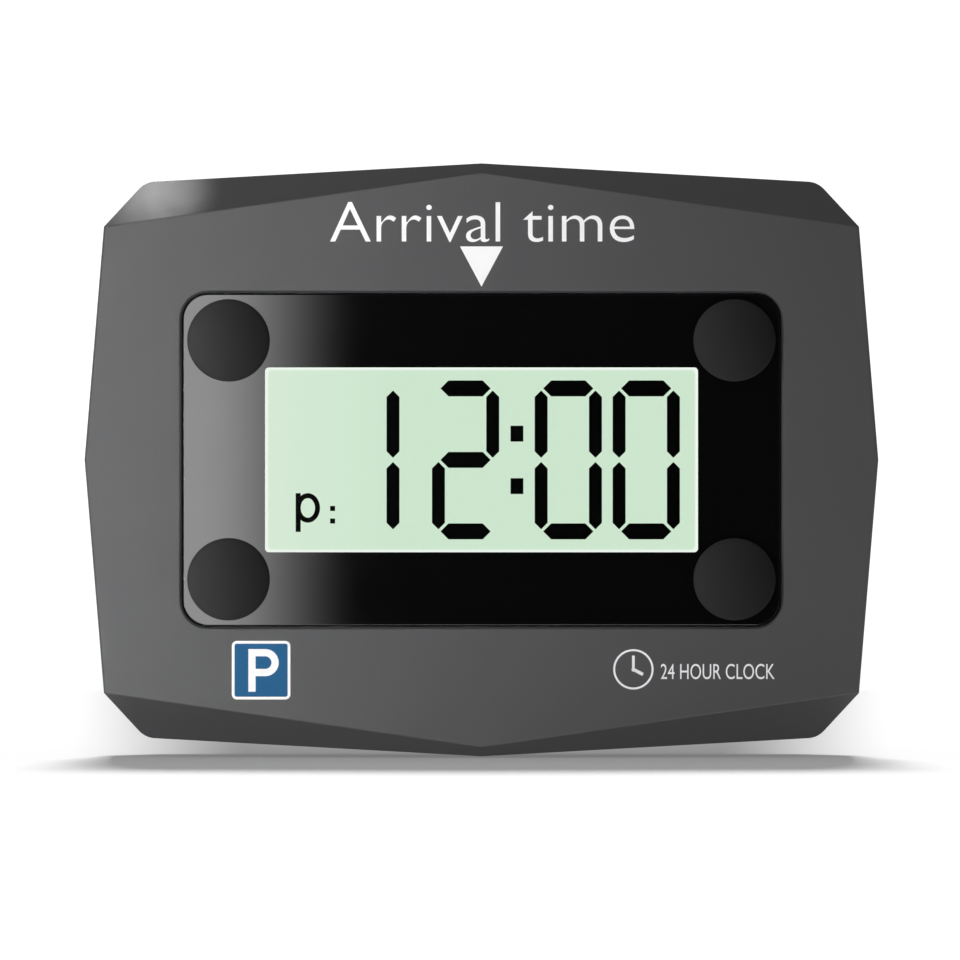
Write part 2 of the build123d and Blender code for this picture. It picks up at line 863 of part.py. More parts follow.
with BuildPart() as switch_legs:
    for right, up in corners:
        on_board(switch_x + right * (switch_size / 2 + 0.5), switch_z + up * 2.25, 1.0, 0.7, 0.2)
save(switch_legs.part, "switch_legs")

# ---- setting button ------------------------------------------------------------------------------
button_back_y = rear_y + button_proud
flange_front_y = wall_rear_y - button_rest_gap - button_flange_thickness
with BuildPart() as button:
    with BuildSketch(facing(flange_front_y)):
        with Locations((0, button_up)):
            SlotOverall(button_width + 2 * button_flange, button_height + 2 * button_flange)
    extrude(amount=-button_flange_thickness)
    with BuildSketch(facing(flange_front_y)):
        with Locations((0, button_up)):
            SlotOverall(button_width, button_height)
    extrude(amount=-(button_back_y - flange_front_y))
    fillet(faces().sort_by(Axis.Y)[-1].edges(), button_edge_round)
    with BuildSketch(facing(flange_front_y)):
        with Locations((0, button_up)):
            Circle(button_post_radius)
            Rectangle(button_rib_length, button_rib_width)
    extrude(amount=flange_front_y - plunger_top_y)
    with Locations((0, button_back_y + button_dish_radius - button_dish, button_up)):
        Sphere(button_dish_radius, mode=Mode.SUBTRACT)
save(button.part, "set_button")

# ---- rear cover ----------------------------------------------------------------------------------
tab_spots = [-door_tab_spread, door_tab_spread]
tab_y = wall_rear_y - tab_gap
sounder_spot = (sounder_x, button_up)
sounder_y = wall_rear_y - sounder_seat
with BuildPart() as door_recess:
    extrude(door_sketch(door_gap), amount=door_reach)
    add(case_form(door_thickness + recess_gap), mode=Mode.SUBTRACT)
with BuildPart() as bay_block:
    slab(
        bay_half + bay_wall,
        bay_bottom - bay_drop - wall,
        bay_top + bay_wall,
        bay_floor_y,
        rear_y - door_thickness - bay_floor_y,
    )
    add(outer_form, mode=Mode.INTERSECT)
    add(ring_of(0, wall / 2 + lip_gap, bay_floor_y, seam_y - bay_floor_y), mode=Mode.SUBTRACT)

with BuildPart() as rear_cover:
    add(outer_form)
    add(inner_form, mode=Mode.SUBTRACT)
    split(bisect_by=seam_front, keep=Keep.TOP)
    chamfer(faces().sort_by(Axis.Y)[0].outer_wire().edges(), seam_chamfer)
    add(ring_of(wall / 2 + lip_gap, wall / 2 - lip_gap, seam_y - lip_height, lip_height + embed))
    with BuildSketch(facing(boss_end_y)):
        with Locations(*screw_spots):
            Circle(rear_boss_radius)
    extrude(amount=-(wall_rear_y + embed - boss_end_y))
    add(bay_block.part)
    slab(bay_half, bay_bottom, bay_top, bay_y, rear_y - bay_y, Mode.SUBTRACT)
    for name in cell_z:
        tail(name, tail_gap, Mode.SUBTRACT)
    add(door_recess.part, mode=Mode.SUBTRACT)
    slot_y = tab_y - door_tab_thickness - tab_swing
    with BuildSketch(facing(slot_y)):
        with Locations(*[(x, door_top - tab_slot_height / 2) for x in tab_spots]):
            Rectangle(door_tab_width + 2 * tab_side_gap, tab_slot_height)
    extrude(amount=-(rear_y - door_thickness - slot_y), mode=Mode.SUBTRACT)
    with BuildSketch(facing(wall_rear_y - guide_depth)):
        with Locations((0, button_up)):
            SlotOverall(
                button_width + 2 * (button_flange + button_gap + guide_wall),
                button_height + 2 * (button_flange + button_gap + guide_wall),
            )
            SlotOverall(
                button_width + 2 * (button_flange + button_gap),
                button_height + 2 * (button_flange + button_gap),
                mode=Mode.SUBTRACT,
            )
    extrude(amount=-(guide_depth + embed))
    with BuildSketch(facing(wall_rear_y)):
        with Locations((0, button_up)):
            SlotOverall(button_width + 2 * button_gap, button_height + 2 * button_gap)
    extrude(amount=-wall, mode=Mode.SUBTRACT)
    with BuildSketch(facing(sounder_y)):
        with Locations(sounder_spot):
            Circle(sounder_radius)
            Circle(sounder_radius - sounder_rim, mode=Mode.SUBTRACT)
    extrude(amount=-(sounder_seat + embed))
    with BuildSketch(facing(wall_rear_y)):
        with Locations(sounder_spot):
            Circle(sounder_hole)
            with PolarLocations(sounder_ring, 6):
                Circle(sounder_hole)
    extrude(amount=-wall, mode=Mode.SUBTRACT)
    with BuildSketch(facing(boss_end_y)):
        with Locations(*screw_spots):
            Circle(screw_shank_radius + hole_gap)
    extrude(amount=-(rear_y - boss_end_y), mode=Mode.SUBTRACT)
    with BuildSketch(facing(head_seat_y)):
        with Locations(*screw_spots):
            Circle(screw_head_radius + screw_head_gap)
    extrude(amount=-(rear_y - head_seat_y), mode=Mode.SUBTRACT)
save(rear_cover.part, "rear_cover")

# ---- sounder -------------------------------------------------------------------------------------
with BuildPart() as sounder_plate:
    with BuildSketch(facing(sounder_y - sounder_brass)):
        with Locations(sounder_spot):
            Circle(sounder_radius)
    extrude(amount=-sounder_brass)
save(sounder_plate.part, "sounder_plate")
with BuildPart() as sounder_disc:
    with BuildSketch(facing(sounder_y - sounder_brass - sounder_ceramic)):
        with Locations(sounder_spot):
            Circle(sounder_ceramic_radius)
    extrude(amount=-sounder_ceramic)
save(sounder_disc.part, "sounder_ceramic")

# ---- battery door --------------------------------------------------------------------------------
with BuildPart() as door:
    extrude(door_sketch(0), amount=door_reach)
    add(outer_form, mode=Mode.INTERSECT)
    add(case_form(door_thickness), mode=Mode.SUBTRACT)
    for x in tab_spots:
        with BuildSketch(across(x)):
            with BuildLine():
                Polyline(
                    (rear_y - door_thickness / 2, door_top - recess_gap),
                    (tab_y, door_top - recess_gap),
                    (tab_y, door_top + door_tab_reach),
                    (tab_y - door_tab_thickness, door_top + door_tab_reach),
                    (tab_y - door_tab_thickness, door_top - door_tab_root),
                    (rear_y - door_thickness / 2, door_top - door_tab_root),
                    close=True,
                )
            make_face()
        extrude(amount=door_tab_width / 2, both=True)
    finger_z = bay_bottom + bay_play + door_nib + door_nib_gap
    finger_end_y = door_inner_y - door_finger_depth
    with BuildSketch(across(0)):
        with BuildLine():
            Polyline(
                (rear_y - door_thickness / 2, finger_z + door_finger_thickness),
                (rear_y - door_thickness / 2, finger_z),
                (finger_end_y + door_finger_depth / 3, finger_z),
                (finger_end_y + door_finger_depth / 4, finger_z - door_nib),
                (finger_end_y, finger_z),
                (finger_end_y, finger_z + door_finger_thickness),
                close=True,
            )
        make_face()
    extrude(amount=door_finger_width / 2, both=True)
save(door.part, "battery_door")

with BuildPart() as foam:
    with BuildSketch(facing(door_inner_y - foam_thickness)):
        with Locations((0, (bay_top + bay_bottom) / 2)):
            RectangleRounded(foam_width, foam_height, foam_height / 4)
    extrude(amount=-foam_thickness)
save(foam.part, "door_foam")

# ---- cells and their contacts --------------------------------------------------------------------
# The upper cell's positive end is at the left, the lower cell's at the right.
left_plate_x = -bay_half
right_plate_x = bay_half - plate_thickness
spot_left = -bay_half + plate_thickness
spot_right = bay_half - plate_thickness
cells = {"upper": (spot_left + plate_dimple, 1), "lower": (spot_right - plate_dimple, -1)}
for name, (nub_x, way) in cells.items():
    axis_plane = Plane(origin=(nub_x, cell_y, cell_z[name]), x_dir=(0, 1, 0), z_dir=(way, 0, 0))
    with BuildPart() as can:
        with BuildSketch(axis_plane):
            Circle(cell_nub_radius)
        extrude(amount=cell_nub_height)
        with BuildSketch(axis_plane.offset(cell_nub_height)):
            Circle(cell_diameter / 2 - cell_sleeve)
        extrude(amount=cell_length - cell_nub_height)
        ends = edges().filter_by(GeomType.CIRCLE).sort_by(SortBy.RADIUS)[-2:]
        fillet(ends, cell_edge_round)
    save(can.part, f"battery_can_{name}")
    with BuildPart() as sleeve:
        with BuildSketch(axis_plane.offset(cell_nub_height + cell_shoulder)):
            Circle(cell_diameter / 2)
            Circle(cell_diameter / 2 - cell_sleeve, mode=Mode.SUBTRACT)
        extrude(amount=cell_length - cell_nub_height - 2 * cell_shoulder)
    save(sleeve.part, f"battery_sleeve_{name}")


def plate(x, bottom, top):
    """A contact plate on one end wall of the bay."""
    with BuildSketch(across(x)) as shape:
        with Locations((cell_y, (bottom + top) / 2)):
            Rectangle(plate_width, top - bottom)
    extrude(shape.sketch, amount=plate_thickness)


def dimple(x, name, way):
    """The raised spot that a cell's nub rests on."""
    face = Plane(origin=(x, cell_y, cell_z[name]), x_dir=(0, 1, 0), z_dir=(way, 0, 0))
    with BuildSketch(face) as spot:
        Circle(dimple_radius)
    extrude(spot.sketch, amount=plate_dimple, taper=dimple_taper)


with BuildPart() as plus_plate:
    plate(left_plate_x, cell_z["upper"] - plate_margin, cell_z["upper"] + plate_margin)
    dimple(spot_left, "upper", 1)
    tail("upper", 0)
save(plus_plate.part, "contact_plus")
with BuildPart() as minus_plate:
    plate(left_plate_x, cell_z["lower"] - plate_margin, cell_z["lower"] + plate_margin)
    tail("lower", 0)
save(minus_plate.part, "contact_minus")
with BuildPart() as link_plate:
    plate(right_plate_x, cell_z["lower"] - plate_margin, cell_z["upper"] + plate_margin)
    dimple(spot_right, "lower", -1)
save(link_plate.part, "contact_link")

# The upper cell's spring is the lower one's, half a turn about the middle of the bay.
bay_middle = Axis((0, cell_y, (bay_top + bay_bottom) / 2), (0, 1, 0))
with BuildPart() as lower_spring:
    with BuildLine():
        coil = Helix(
            pitch=spring_pitch,
            height=spring_length - spring_wire,
            radius=spring_radius,
            center=(spot_left + spring_wire / 2, cell_y, cell_z["lower"]),
            direction=(1, 0, 0),
            cone_angle=spring_cone,
        )
    with BuildSketch(Plane(origin=coil @ 0, z_dir=coil % 0)):
        Circle(spring_wire / 2)
    sweep()
save(lower_spring.part, "contact_spring_lower")
with BuildPart() as upper_spring:
    add(lower_spring.part.rotate(bay_middle, 180))
save(upper_spring.part, "contact_spring_upper")

# ---- wires ---------------------------------------------------------------------------------------


def wire(name, radius, bend, *points):
    """An insulated wire along straight runs joined by arcs."""
    with BuildPart() as lead:
        with BuildLine() as route:
            FilletPolyline(*points, radius=bend)
        with BuildSketch(Plane(origin=route.line @ 0, z_dir=route.line % 0)):
            Circle(radius)
        sweep()
    save(lead.part, name)


for name, pole, height in (("upper", "plus", 4.5), ("lower", "minus", 7.5)):
    wire(
        f"battery_wire_{pole}",
        wire_radius,
        wire_bend,
        (wire_x[name], cell_y, cell_z[name] + plate_thickness / 2),
        (wire_x[name], cell_y, board_bottom + height),
        (wire_x[name], board_back_y, board_bottom + height),
    )

disc_front_y = sounder_y - sounder_brass - sounder_ceramic
plate_front_y = sounder_y - sounder_brass
sounder_ends = {
    "signal": (sounder_x, disc_front_y - thin_wire_radius, button_up - 4.0),
    "ground": (sounder_x + 3.0, plate_front_y - thin_wire_radius, button_up - 8.2),
}
for pole, (x, y, z) in sounder_ends.items():
    wire(
        f"sounder_wire_{pole}",
        thin_wire_radius,
        thin_wire_bend,
        (x, y, z),
        (x, y, button_up - sounder_radius - 3.0),
        (x, board_back_y, button_up - sounder_radius - 3.0),
    )

# ---- screws --------------------------------------------------------------------------------------


def screw_profile(head_radius, head_height, core, crest, length, pitch):
    """Half of a pan-head screw's section, head up: a sketch in x (radius) and y (along)."""
    turns = int((length - 1.5) / pitch)
    points = [(0, head_height), (head_radius * 0.7, head_height), (head_radius, head_height * 0.45)]
    points += [(head_radius, 0), (core, 0)]
    for n in range(turns):
        base = -(0.8 + n * pitch)
        points += [(core, base), (crest, base - pitch * 0.4), (core, base - pitch * 0.8)]
    points += [(core, -(length - 0.9)), (0.1, -length), (0, -length)]
    Polygon(*points, align=None)


def screws(name, spots, seat_y, head_radius, head_height, core, crest, length, pitch):
    """One screw at each spot, with its head on seat_y, as one node."""
    with BuildPart() as group:
        for x, z in spots:
            with BuildSketch(Plane(origin=(x, seat_y, z), x_dir=(1, 0, 0), z_dir=(0, 0, 1))):
                screw_profile(head_radius, head_height, core, crest, length, pitch)
            revolve(axis=Axis((x, seat_y, z), (0, 1, 0)))
            with BuildSketch(facing(seat_y + head_height)):
                with Locations((x, z)):
                    Rectangle(2 * head_radius * cross_reach, cross_width)
                    Rectangle(cross_width, 2 * head_radius * cross_reach)
            extrude(amount=head_height * cross_reach, mode=Mode.SUBTRACT)
    save(group.part, name)


screws(
    "case_screws",
    screw_spots,
    head_seat_y,
    screw_head_radius,
    screw_head_height,
    screw_pilot_radius - thread_bite,
    screw_shank_radius,
    screw_length,
    screw_pitch,
)
screws(
    "board_screws",
    post_spots,
    board_back_y,
    board_screw_head,
    board_screw_head_height,
    post_bore - thread_bite,
    board_screw_radius,
    board_screw_length,
    board_screw_pitch,
)
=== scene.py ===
from math import cos, pi, radians, sin

import bmesh
import bpy
from mathutils import Matrix, Vector, noise


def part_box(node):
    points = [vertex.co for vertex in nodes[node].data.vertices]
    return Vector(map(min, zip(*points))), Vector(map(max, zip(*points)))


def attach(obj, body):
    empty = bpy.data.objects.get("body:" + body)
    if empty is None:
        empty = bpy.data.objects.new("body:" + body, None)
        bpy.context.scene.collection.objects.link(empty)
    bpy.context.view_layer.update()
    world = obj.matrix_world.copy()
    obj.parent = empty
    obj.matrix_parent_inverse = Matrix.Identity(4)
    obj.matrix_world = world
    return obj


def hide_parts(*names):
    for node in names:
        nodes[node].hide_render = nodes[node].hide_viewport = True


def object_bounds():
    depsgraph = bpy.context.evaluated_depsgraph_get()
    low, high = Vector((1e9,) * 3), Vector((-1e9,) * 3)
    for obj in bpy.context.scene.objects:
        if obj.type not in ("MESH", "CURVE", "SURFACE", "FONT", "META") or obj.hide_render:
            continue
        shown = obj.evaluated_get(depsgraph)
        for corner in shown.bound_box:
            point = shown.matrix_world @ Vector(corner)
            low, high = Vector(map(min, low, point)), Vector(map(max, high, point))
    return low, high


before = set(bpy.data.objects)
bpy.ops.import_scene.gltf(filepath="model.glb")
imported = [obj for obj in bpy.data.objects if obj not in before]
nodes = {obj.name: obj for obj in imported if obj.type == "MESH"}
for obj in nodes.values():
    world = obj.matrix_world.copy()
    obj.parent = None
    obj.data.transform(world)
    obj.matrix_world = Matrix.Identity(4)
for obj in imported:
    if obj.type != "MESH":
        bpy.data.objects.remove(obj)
cad_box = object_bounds()

# ---- case covers and battery door ----------------------------------------------------------------
# The front cover, the rear cover and the battery door are moulded in dark grey ABS from spark-eroded
# moulds, which leave a fine even grain. The covers are held by four screws, and the door hooks into
# the rear cover and snaps shut.


def shader_group(name, inputs, outputs):
    """An empty shader node group, with (name, kind, value) inputs and (name, kind) outputs."""
    group = bpy.data.node_groups.new(name, "ShaderNodeTree")
    for socket, kind, value in inputs:
        made = group.interface.new_socket(socket, in_out="INPUT", socket_type="NodeSocket" + kind)
        made.default_value = value
    for socket, kind in outputs:
        group.interface.new_socket(socket, in_out="OUTPUT", socket_type="NodeSocket" + kind)
    start = group.nodes.new("NodeGroupInput")
    end = group.nodes.new("NodeGroupOutput")
    return group, start.outputs, end.inputs


def add_node(tree, kind, inputs=(), **settings):
    """A shader node whose inputs are values to set or sockets to link."""
    made = tree.nodes.new("ShaderNode" + kind)
    for setting, value in settings.items():
        setattr(made, setting, value)
    for key, value in dict(inputs).items():
        if isinstance(value, bpy.types.NodeSocket):
            tree.links.new(value, made.inputs[key])
        else:
            made.inputs[key].default_value = value
    return made


def maths(tree, operation, *values):
    """The output of a Math node."""
    return add_node(tree, "Math", dict(enumerate(values)), operation=operation).outputs[0]


def blended(tree, share, first, second):
    """The colour between first and second, by share."""
    inputs = {0: share, 6: first, 7: second}
    return add_node(tree, "Mix", inputs, data_type="RGBA").outputs[2]


def spread(tree, value, low, high, new_low, new_high):
    """value, from the range low to high, moved to the new range and held there."""
    inputs = {0: value, 1: low, 2: high, 3: new_low, 4: new_high}
    return add_node(tree, "MapRange", inputs).outputs[0]


def on_piece(tree):
    """Where a point of the surface lies, in metres in the part's own frame."""
    return add_node(tree, "TexCoord").outputs["Object"]


def axes_of(tree, place):
    """The X, Y and Z of a place."""
    return add_node(tree, "SeparateXYZ", {0: place}).outputs


def speckled(tree, place, scale, detail, **inputs):
    """An uneven pattern of the given scale, with more or less fine detail in it."""
    inputs = {"Vector": place, "Scale": scale, "Detail": detail, **inputs}
    return add_node(tree, "TexNoise", inputs).outputs["Fac"]


moulded_skin, skin_in, skin_out = shader_group(
    "moulded_skin",
    [
        ("Colour", "Color", (0.1, 0.1, 0.1, 1)),
        ("Worn Colour", "Color", (0.2, 0.2, 0.2, 1)),
        ("Grain Scale", "Float", 5000.0),
        ("Mottle", "Float", 0.06),
        ("Roughness", "Float", 0.45),
        ("Edge Radius", "Float", 0.0003),
        ("Wear", "Float", 0.4),
    ],
    [("Colour", "Color"), ("Roughness", "Float"), ("Height", "Float")],
)
place = on_piece(moulded_skin)
grain = speckled(moulded_skin, place, skin_in["Grain Scale"], 3.0)
flow = speckled(moulded_skin, place, 45.0, 4.0)
handling = speckled(moulded_skin, place, 220.0, 6.0, Roughness=0.7)
rounded = add_node(moulded_skin, "Bevel", {"Radius": skin_in["Edge Radius"]}, samples=6).outputs[0]
true_face = add_node(moulded_skin, "NewGeometry").outputs["Normal"]
turn = add_node(moulded_skin, "VectorMath", {0: rounded, 1: true_face}, operation="DOT_PRODUCT")
edge = spread(moulded_skin, turn.outputs["Value"], 0.995, 0.9, 0.0, 1.0)
rubbed = maths(moulded_skin, "MULTIPLY", edge, spread(moulded_skin, handling, 0.4, 0.62, 0.25, 1.0))
wear = maths(moulded_skin, "MULTIPLY", rubbed, skin_in["Wear"])
dark = maths(moulded_skin, "SUBTRACT", 1.0, skin_in["Mottle"])
light = maths(moulded_skin, "ADD", 1.0, skin_in["Mottle"])
tone = spread(moulded_skin, flow, 0.3, 0.7, dark, light)
toned = add_node(moulded_skin, "VectorMath", {0: skin_in["Colour"], "Scale": tone}, operation="SCALE")
worn = blended(moulded_skin, wear, toned.outputs[0], skin_in["Worn Colour"])
moulded_skin.links.new(worn, skin_out["Colour"])
shine = spread(moulded_skin, handling, 0.3, 0.7, -0.04, 0.05)
matt = maths(moulded_skin, "ADD", skin_in["Roughness"], shine)
worn_matt = maths(moulded_skin, "SUBTRACT", matt, maths(moulded_skin, "MULTIPLY", wear, 0.12))
moulded_skin.links.new(worn_matt, skin_out["Roughness"])
moulded_skin.links.new(grain, skin_out["Height"])


def bare_material(name):
    """A new material with its node tree and its surface shader."""
    material = bpy.data.materials.new(name)
    material.use_nodes = True
    return material, material.node_tree, material.node_tree.nodes["Principled BSDF"]


def finish(name, group, values, bump, rounding=0.0, **shader):
    """A material whose colour, roughness and bump come from a skin group with its own values."""
    material, tree, surface = bare_material(name)
    skin = add_node(tree, "Group", node_tree=group)
    for socket, value in values.items():
        skin.inputs[socket].default_value = value
    tree.links.new(skin.outputs["Colour"], surface.inputs["Base Color"])
    tree.links.new(skin.outputs["Roughness"], surface.inputs["Roughness"])
    relief = add_node(tree, "Bump", {"Height": skin.outputs["Height"], "Strength": 1.0, "Distance": bump})
    if rounding:
        soft_edge = add_node(tree, "Bevel", {"Radius": rounding}, samples=6)
        tree.links.new(soft_edge.outputs[0], relief.inputs["Normal"])
    tree.links.new(relief.outputs[0], surface.inputs["Normal"])
    for socket, value in shader.items():
        surface.inputs[socket.replace("_", " ")].default_value = value
    return material


def clad(material, *names):
    """Gives CAD nodes their finish."""
    for name in names:
        for slot in nodes[name].material_slots:
            slot.material = material


case_plastic = finish(
    "case_plastic",
    moulded_skin,
    {
        "Colour": (0.050, 0.0495, 0.0525, 1),
        "Worn Colour": (0.12, 0.12, 0.125, 1),
        "Grain Scale": 5200.0,
        "Mottle": 0.02,
        "Roughness": 0.42,
        "Wear": 0.6,
    },
    bump=0.000012,
    rounding=0.00012,
    IOR=1.5,
)
clad(case_plastic, "front_cover", "rear_cover", "battery_door")

# ---- printing on the front cover -----------------------------------------------------------------
# The heading, the pointer, the parking sign and the small marks are pad-printed in white and blue
# ink straight onto the front face. The ink stands a few hundredths of a millimetre proud.

front_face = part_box("front_cover")[0].y
ink_depth = 0.00003
facing_front = Matrix.Rotation(radians(90), 4, "X")

ink_skin, ink_in, ink_out = shader_group(
    "ink_skin",
    [
        ("Colour", "Color", (0.9, 0.9, 0.9, 1)),
        ("Thin Colour", "Color", (0.7, 0.7, 0.7, 1)),
        ("Roughness", "Float", 0.4),
    ],
    [("Colour", "Color"), ("Roughness", "Float"), ("Height", "Float")],
)
place = on_piece(ink_skin)
cover_up = speckled(ink_skin, place, 900.0, 4.0)
orange_peel = speckled(ink_skin, place, 4200.0, 2.0)
thin = spread(ink_skin, cover_up, 0.55, 0.85, 0.0, 0.5)
ink_skin.links.new(blended(ink_skin, thin, ink_in["Colour"], ink_in["Thin Colour"]), ink_out["Colour"])
ink_matt = maths(ink_skin, "ADD", ink_in["Roughness"], spread(ink_skin, orange_peel, 0.3, 0.7, -0.05, 0.05))
ink_skin.links.new(ink_matt, ink_out["Roughness"])
ink_skin.links.new(orange_peel, ink_out["Height"])

white_ink = finish(
    "white_ink",
    ink_skin,
    {"Colour": (0.97, 0.97, 0.97, 1), "Thin Colour": (0.88, 0.88, 0.88, 1), "Roughness": 0.42},
    bump=0.000004,
)
blue_ink = finish(
    "blue_ink",
    ink_skin,
    {"Colour": (0.014, 0.115, 0.26, 1), "Thin Colour": (0.02, 0.125, 0.27, 1), "Roughness": 0.5},
    bump=0.000004,
    Specular_IOR_Level=0.12,
)


def meshed(data, name):
    """The mesh of a curve or a text."""
    draft = bpy.data.objects.new(name + "_draft", data)
    bpy.context.scene.collection.objects.link(draft)
    mesh = bpy.data.meshes.new_from_object(draft.evaluated_get(bpy.context.evaluated_depsgraph_get()))
    bpy.data.objects.remove(draft)
    mesh.materials.clear()
    return mesh


def new_piece(name, mesh, *materials):
    """Puts a mesh in the scene as a piece, in its own materials."""
    for material in materials:
        mesh.materials.append(material)
    piece = bpy.data.objects.new(name, mesh)
    bpy.context.scene.collection.objects.link(piece)
    return piece


def settle(data, name, facing, at, body, material):
    """Turns a curve into a mesh that faces the given way at a place, and lets it ride."""
    mesh = meshed(data, name)
    mesh.transform(Matrix.Translation(at) @ facing)
    piece = new_piece(name, mesh, material)
    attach(piece, body)
    return piece


def flat_curve(name, outlines, depth):
    """A flat plate with the given closed outlines; an outline inside another is a hole."""
    curve = bpy.data.curves.new(name, "CURVE")
    curve.dimensions = "2D"
    curve.fill_mode = "BOTH"
    curve.extrude = depth / 2
    for outline in outlines:
        spline = curve.splines.new("POLY")
        spline.points.add(len(outline) - 1)
        for point, (across, up) in zip(spline.points, outline):
            point.co = (across, up, 0, 1)
        spline.use_cyclic_u = True
    return curve


def circle(radius, steps=72):
    """The outline of a circle about the origin."""
    turns = [2 * pi * step / steps for step in range(steps)]
    return [(radius * cos(turn), radius * sin(turn)) for turn in turns]


def round_square(half, radius):
    """The outline of a square with round corners, half its side from the origin."""
    corners = [(half - radius, half - radius), (radius - half, half - radius)]
    corners += [(radius - half, radius - half), (half - radius, radius - half)]
    points = []
    for quarter, (across, up) in enumerate(corners):
        for step in range(9):
            turn = (quarter + step / 8) * pi / 2
            points.append((across + radius * cos(turn), up + radius * sin(turn)))
    return points


def bar(start, end, width):
    """The outline of a straight stroke with square ends."""
    along = (Vector(end) - Vector(start)).normalized() * width / 2
    side = Vector((-along.y, along.x))
    return [Vector(start) + side, Vector(start) - side, Vector(end) - side, Vector(end) + side]


def lettering(name, words, height, width, left, foot, depth, weight, facing, y, body, material):
    """Words of the given height and width, from their left foot; weight thickens the strokes."""
    text = bpy.data.curves.new(name, "FONT")
    text.body = words
    text.offset = weight
    text.extrude = depth / 2
    text.resolution_u = 6
    mesh = meshed(text, name)
    xs = [vertex.co.x for vertex in mesh.vertices]
    tallest = max(vertex.co.y for vertex in mesh.vertices)
    stretch = Matrix.Diagonal((width / (max(xs) - min(xs)), height / tallest, 1, 1))
    mesh.transform(stretch @ Matrix.Translation((-min(xs), 0, 0)))
    mesh.transform(Matrix.Translation((left, y, foot)) @ facing)
    piece = new_piece(name, mesh, material)
    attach(piece, body)
    return piece


lettering(
    "heading_print", "Arrival time", 0.0054, 0.0410, -0.0204, 0.02935, ink_depth, -0.009,
    facing_front, front_face, "housing", white_ink,
)
pointer_half, pointer_top, pointer_tip = 0.0029, 0.02876, 0.02334
pointer_outline = [(-pointer_half, pointer_top), (pointer_half, pointer_top), (0, pointer_tip)]
pointer = flat_curve("pointer_print", [pointer_outline], ink_depth)
settle(pointer, "pointer_print", facing_front, (0, front_face, 0), "housing", white_ink)

sign_at = (-0.0297, front_face, -0.02835)
sign_half = 0.00395
sign_border = 0.00037
sign_round, field_round = 0.0007, 0.0003
field_outline = round_square(sign_half - sign_border, field_round)
border = flat_curve("sign_border_print", [round_square(sign_half, sign_round), field_outline], ink_depth)
settle(border, "sign_border_print", facing_front, sign_at, "housing", white_ink)
field = flat_curve("sign_field_print", [field_outline], ink_depth)
settle(field, "sign_field_print", facing_front, sign_at, "housing", blue_ink)
stroke = 0.00098
stem_left, stem_foot, stem_top = -0.00172, -0.0029, 0.00285
bowl_right, bowl_foot = 0.00238, -0.0008
bowl_out = (stem_top - bowl_foot) / 2
bowl_in = bowl_out - stroke
bowl_middle = stem_top - bowl_out
stem_right = stem_left + stroke


def bowl(radius):
    """A half circle that bulges to the right, from its top to its foot."""
    turns = [pi * step / 24 for step in range(25)]
    start = bowl_right - bowl_out
    return [(start + radius * sin(turn), bowl_middle + radius * cos(turn)) for turn in turns]


letter_outline = [(stem_left, stem_foot), (stem_left, stem_top)] + bowl(bowl_out)
letter_outline += [(stem_right, bowl_foot), (stem_right, stem_foot)]
letter_hole = [(stem_right, bowl_middle + bowl_in)] + bowl(bowl_in) + [(stem_right, bowl_middle - bowl_in)]
letter = flat_curve("sign_letter_print", [letter_outline, letter_hole], 2 * ink_depth)
settle(letter, "sign_letter_print", facing_front, sign_at, "housing", white_ink)

ring_at = (0.02047, front_face, -0.02823)
ring_out, ring_stroke = 0.00272, 0.00027
ring = flat_curve("mark_ring_print", [circle(ring_out), circle(ring_out - ring_stroke)], ink_depth)
settle(ring, "mark_ring_print", facing_front, ring_at, "housing", white_ink)
for name, start, end, width in (
    ("mark_minute_hand_print", (0, -0.0003), (0, 0.00185), 0.00036),
    ("mark_hour_hand_print", (-0.0002, 0.0001), (0.0013, -0.0007), 0.00044),
):
    hand = flat_curve(name, [bar(start, end, width)], ink_depth)
    settle(hand, name, facing_front, ring_at, "housing", white_ink)
lettering(
    "mark_words_print", "24 HOUR CLOCK", 0.00205, 0.01535, 0.02416, -0.02954, ink_depth, 0.0,
    facing_front, front_face, "housing", white_ink,
)

# ---- display window ------------------------------------------------------------------------------
# A clear acrylic plate, polished in front and printed black on its back around the display. It lies
# in the cover's recess on a frame of thin double-sided tape.

view_half_width, view_half_height = 0.0292, 0.01245

inside_frame, framed_in, framed_out = shader_group(
    "inside_frame",
    [
        ("Half Width", "Float", 0.03),
        ("Half Height", "Float", 0.01),
        ("Corner", "Float", 0.0005),
        ("Softness", "Float", 0.00004),
    ],
    [("Inside", "Float")],
)
axes = axes_of(inside_frame, on_piece(inside_frame))
reach = []
for axis, half in (("X", "Half Width"), ("Z", "Half Height")):
    short = maths(inside_frame, "SUBTRACT", framed_in[half], framed_in["Corner"])
    past = maths(inside_frame, "SUBTRACT", maths(inside_frame, "ABSOLUTE", axes[axis]), short)
    past = maths(inside_frame, "MAXIMUM", past, 0.0)
    reach.append(maths(inside_frame, "MULTIPLY", past, past))
from_corner = maths(inside_frame, "SQRT", maths(inside_frame, "ADD", *reach))
beyond = maths(inside_frame, "SUBTRACT", from_corner, framed_in["Corner"])
inside = spread(inside_frame, beyond, framed_in["Softness"], 0.0, 0.0, 1.0)
inside_frame.links.new(inside, framed_out["Inside"])

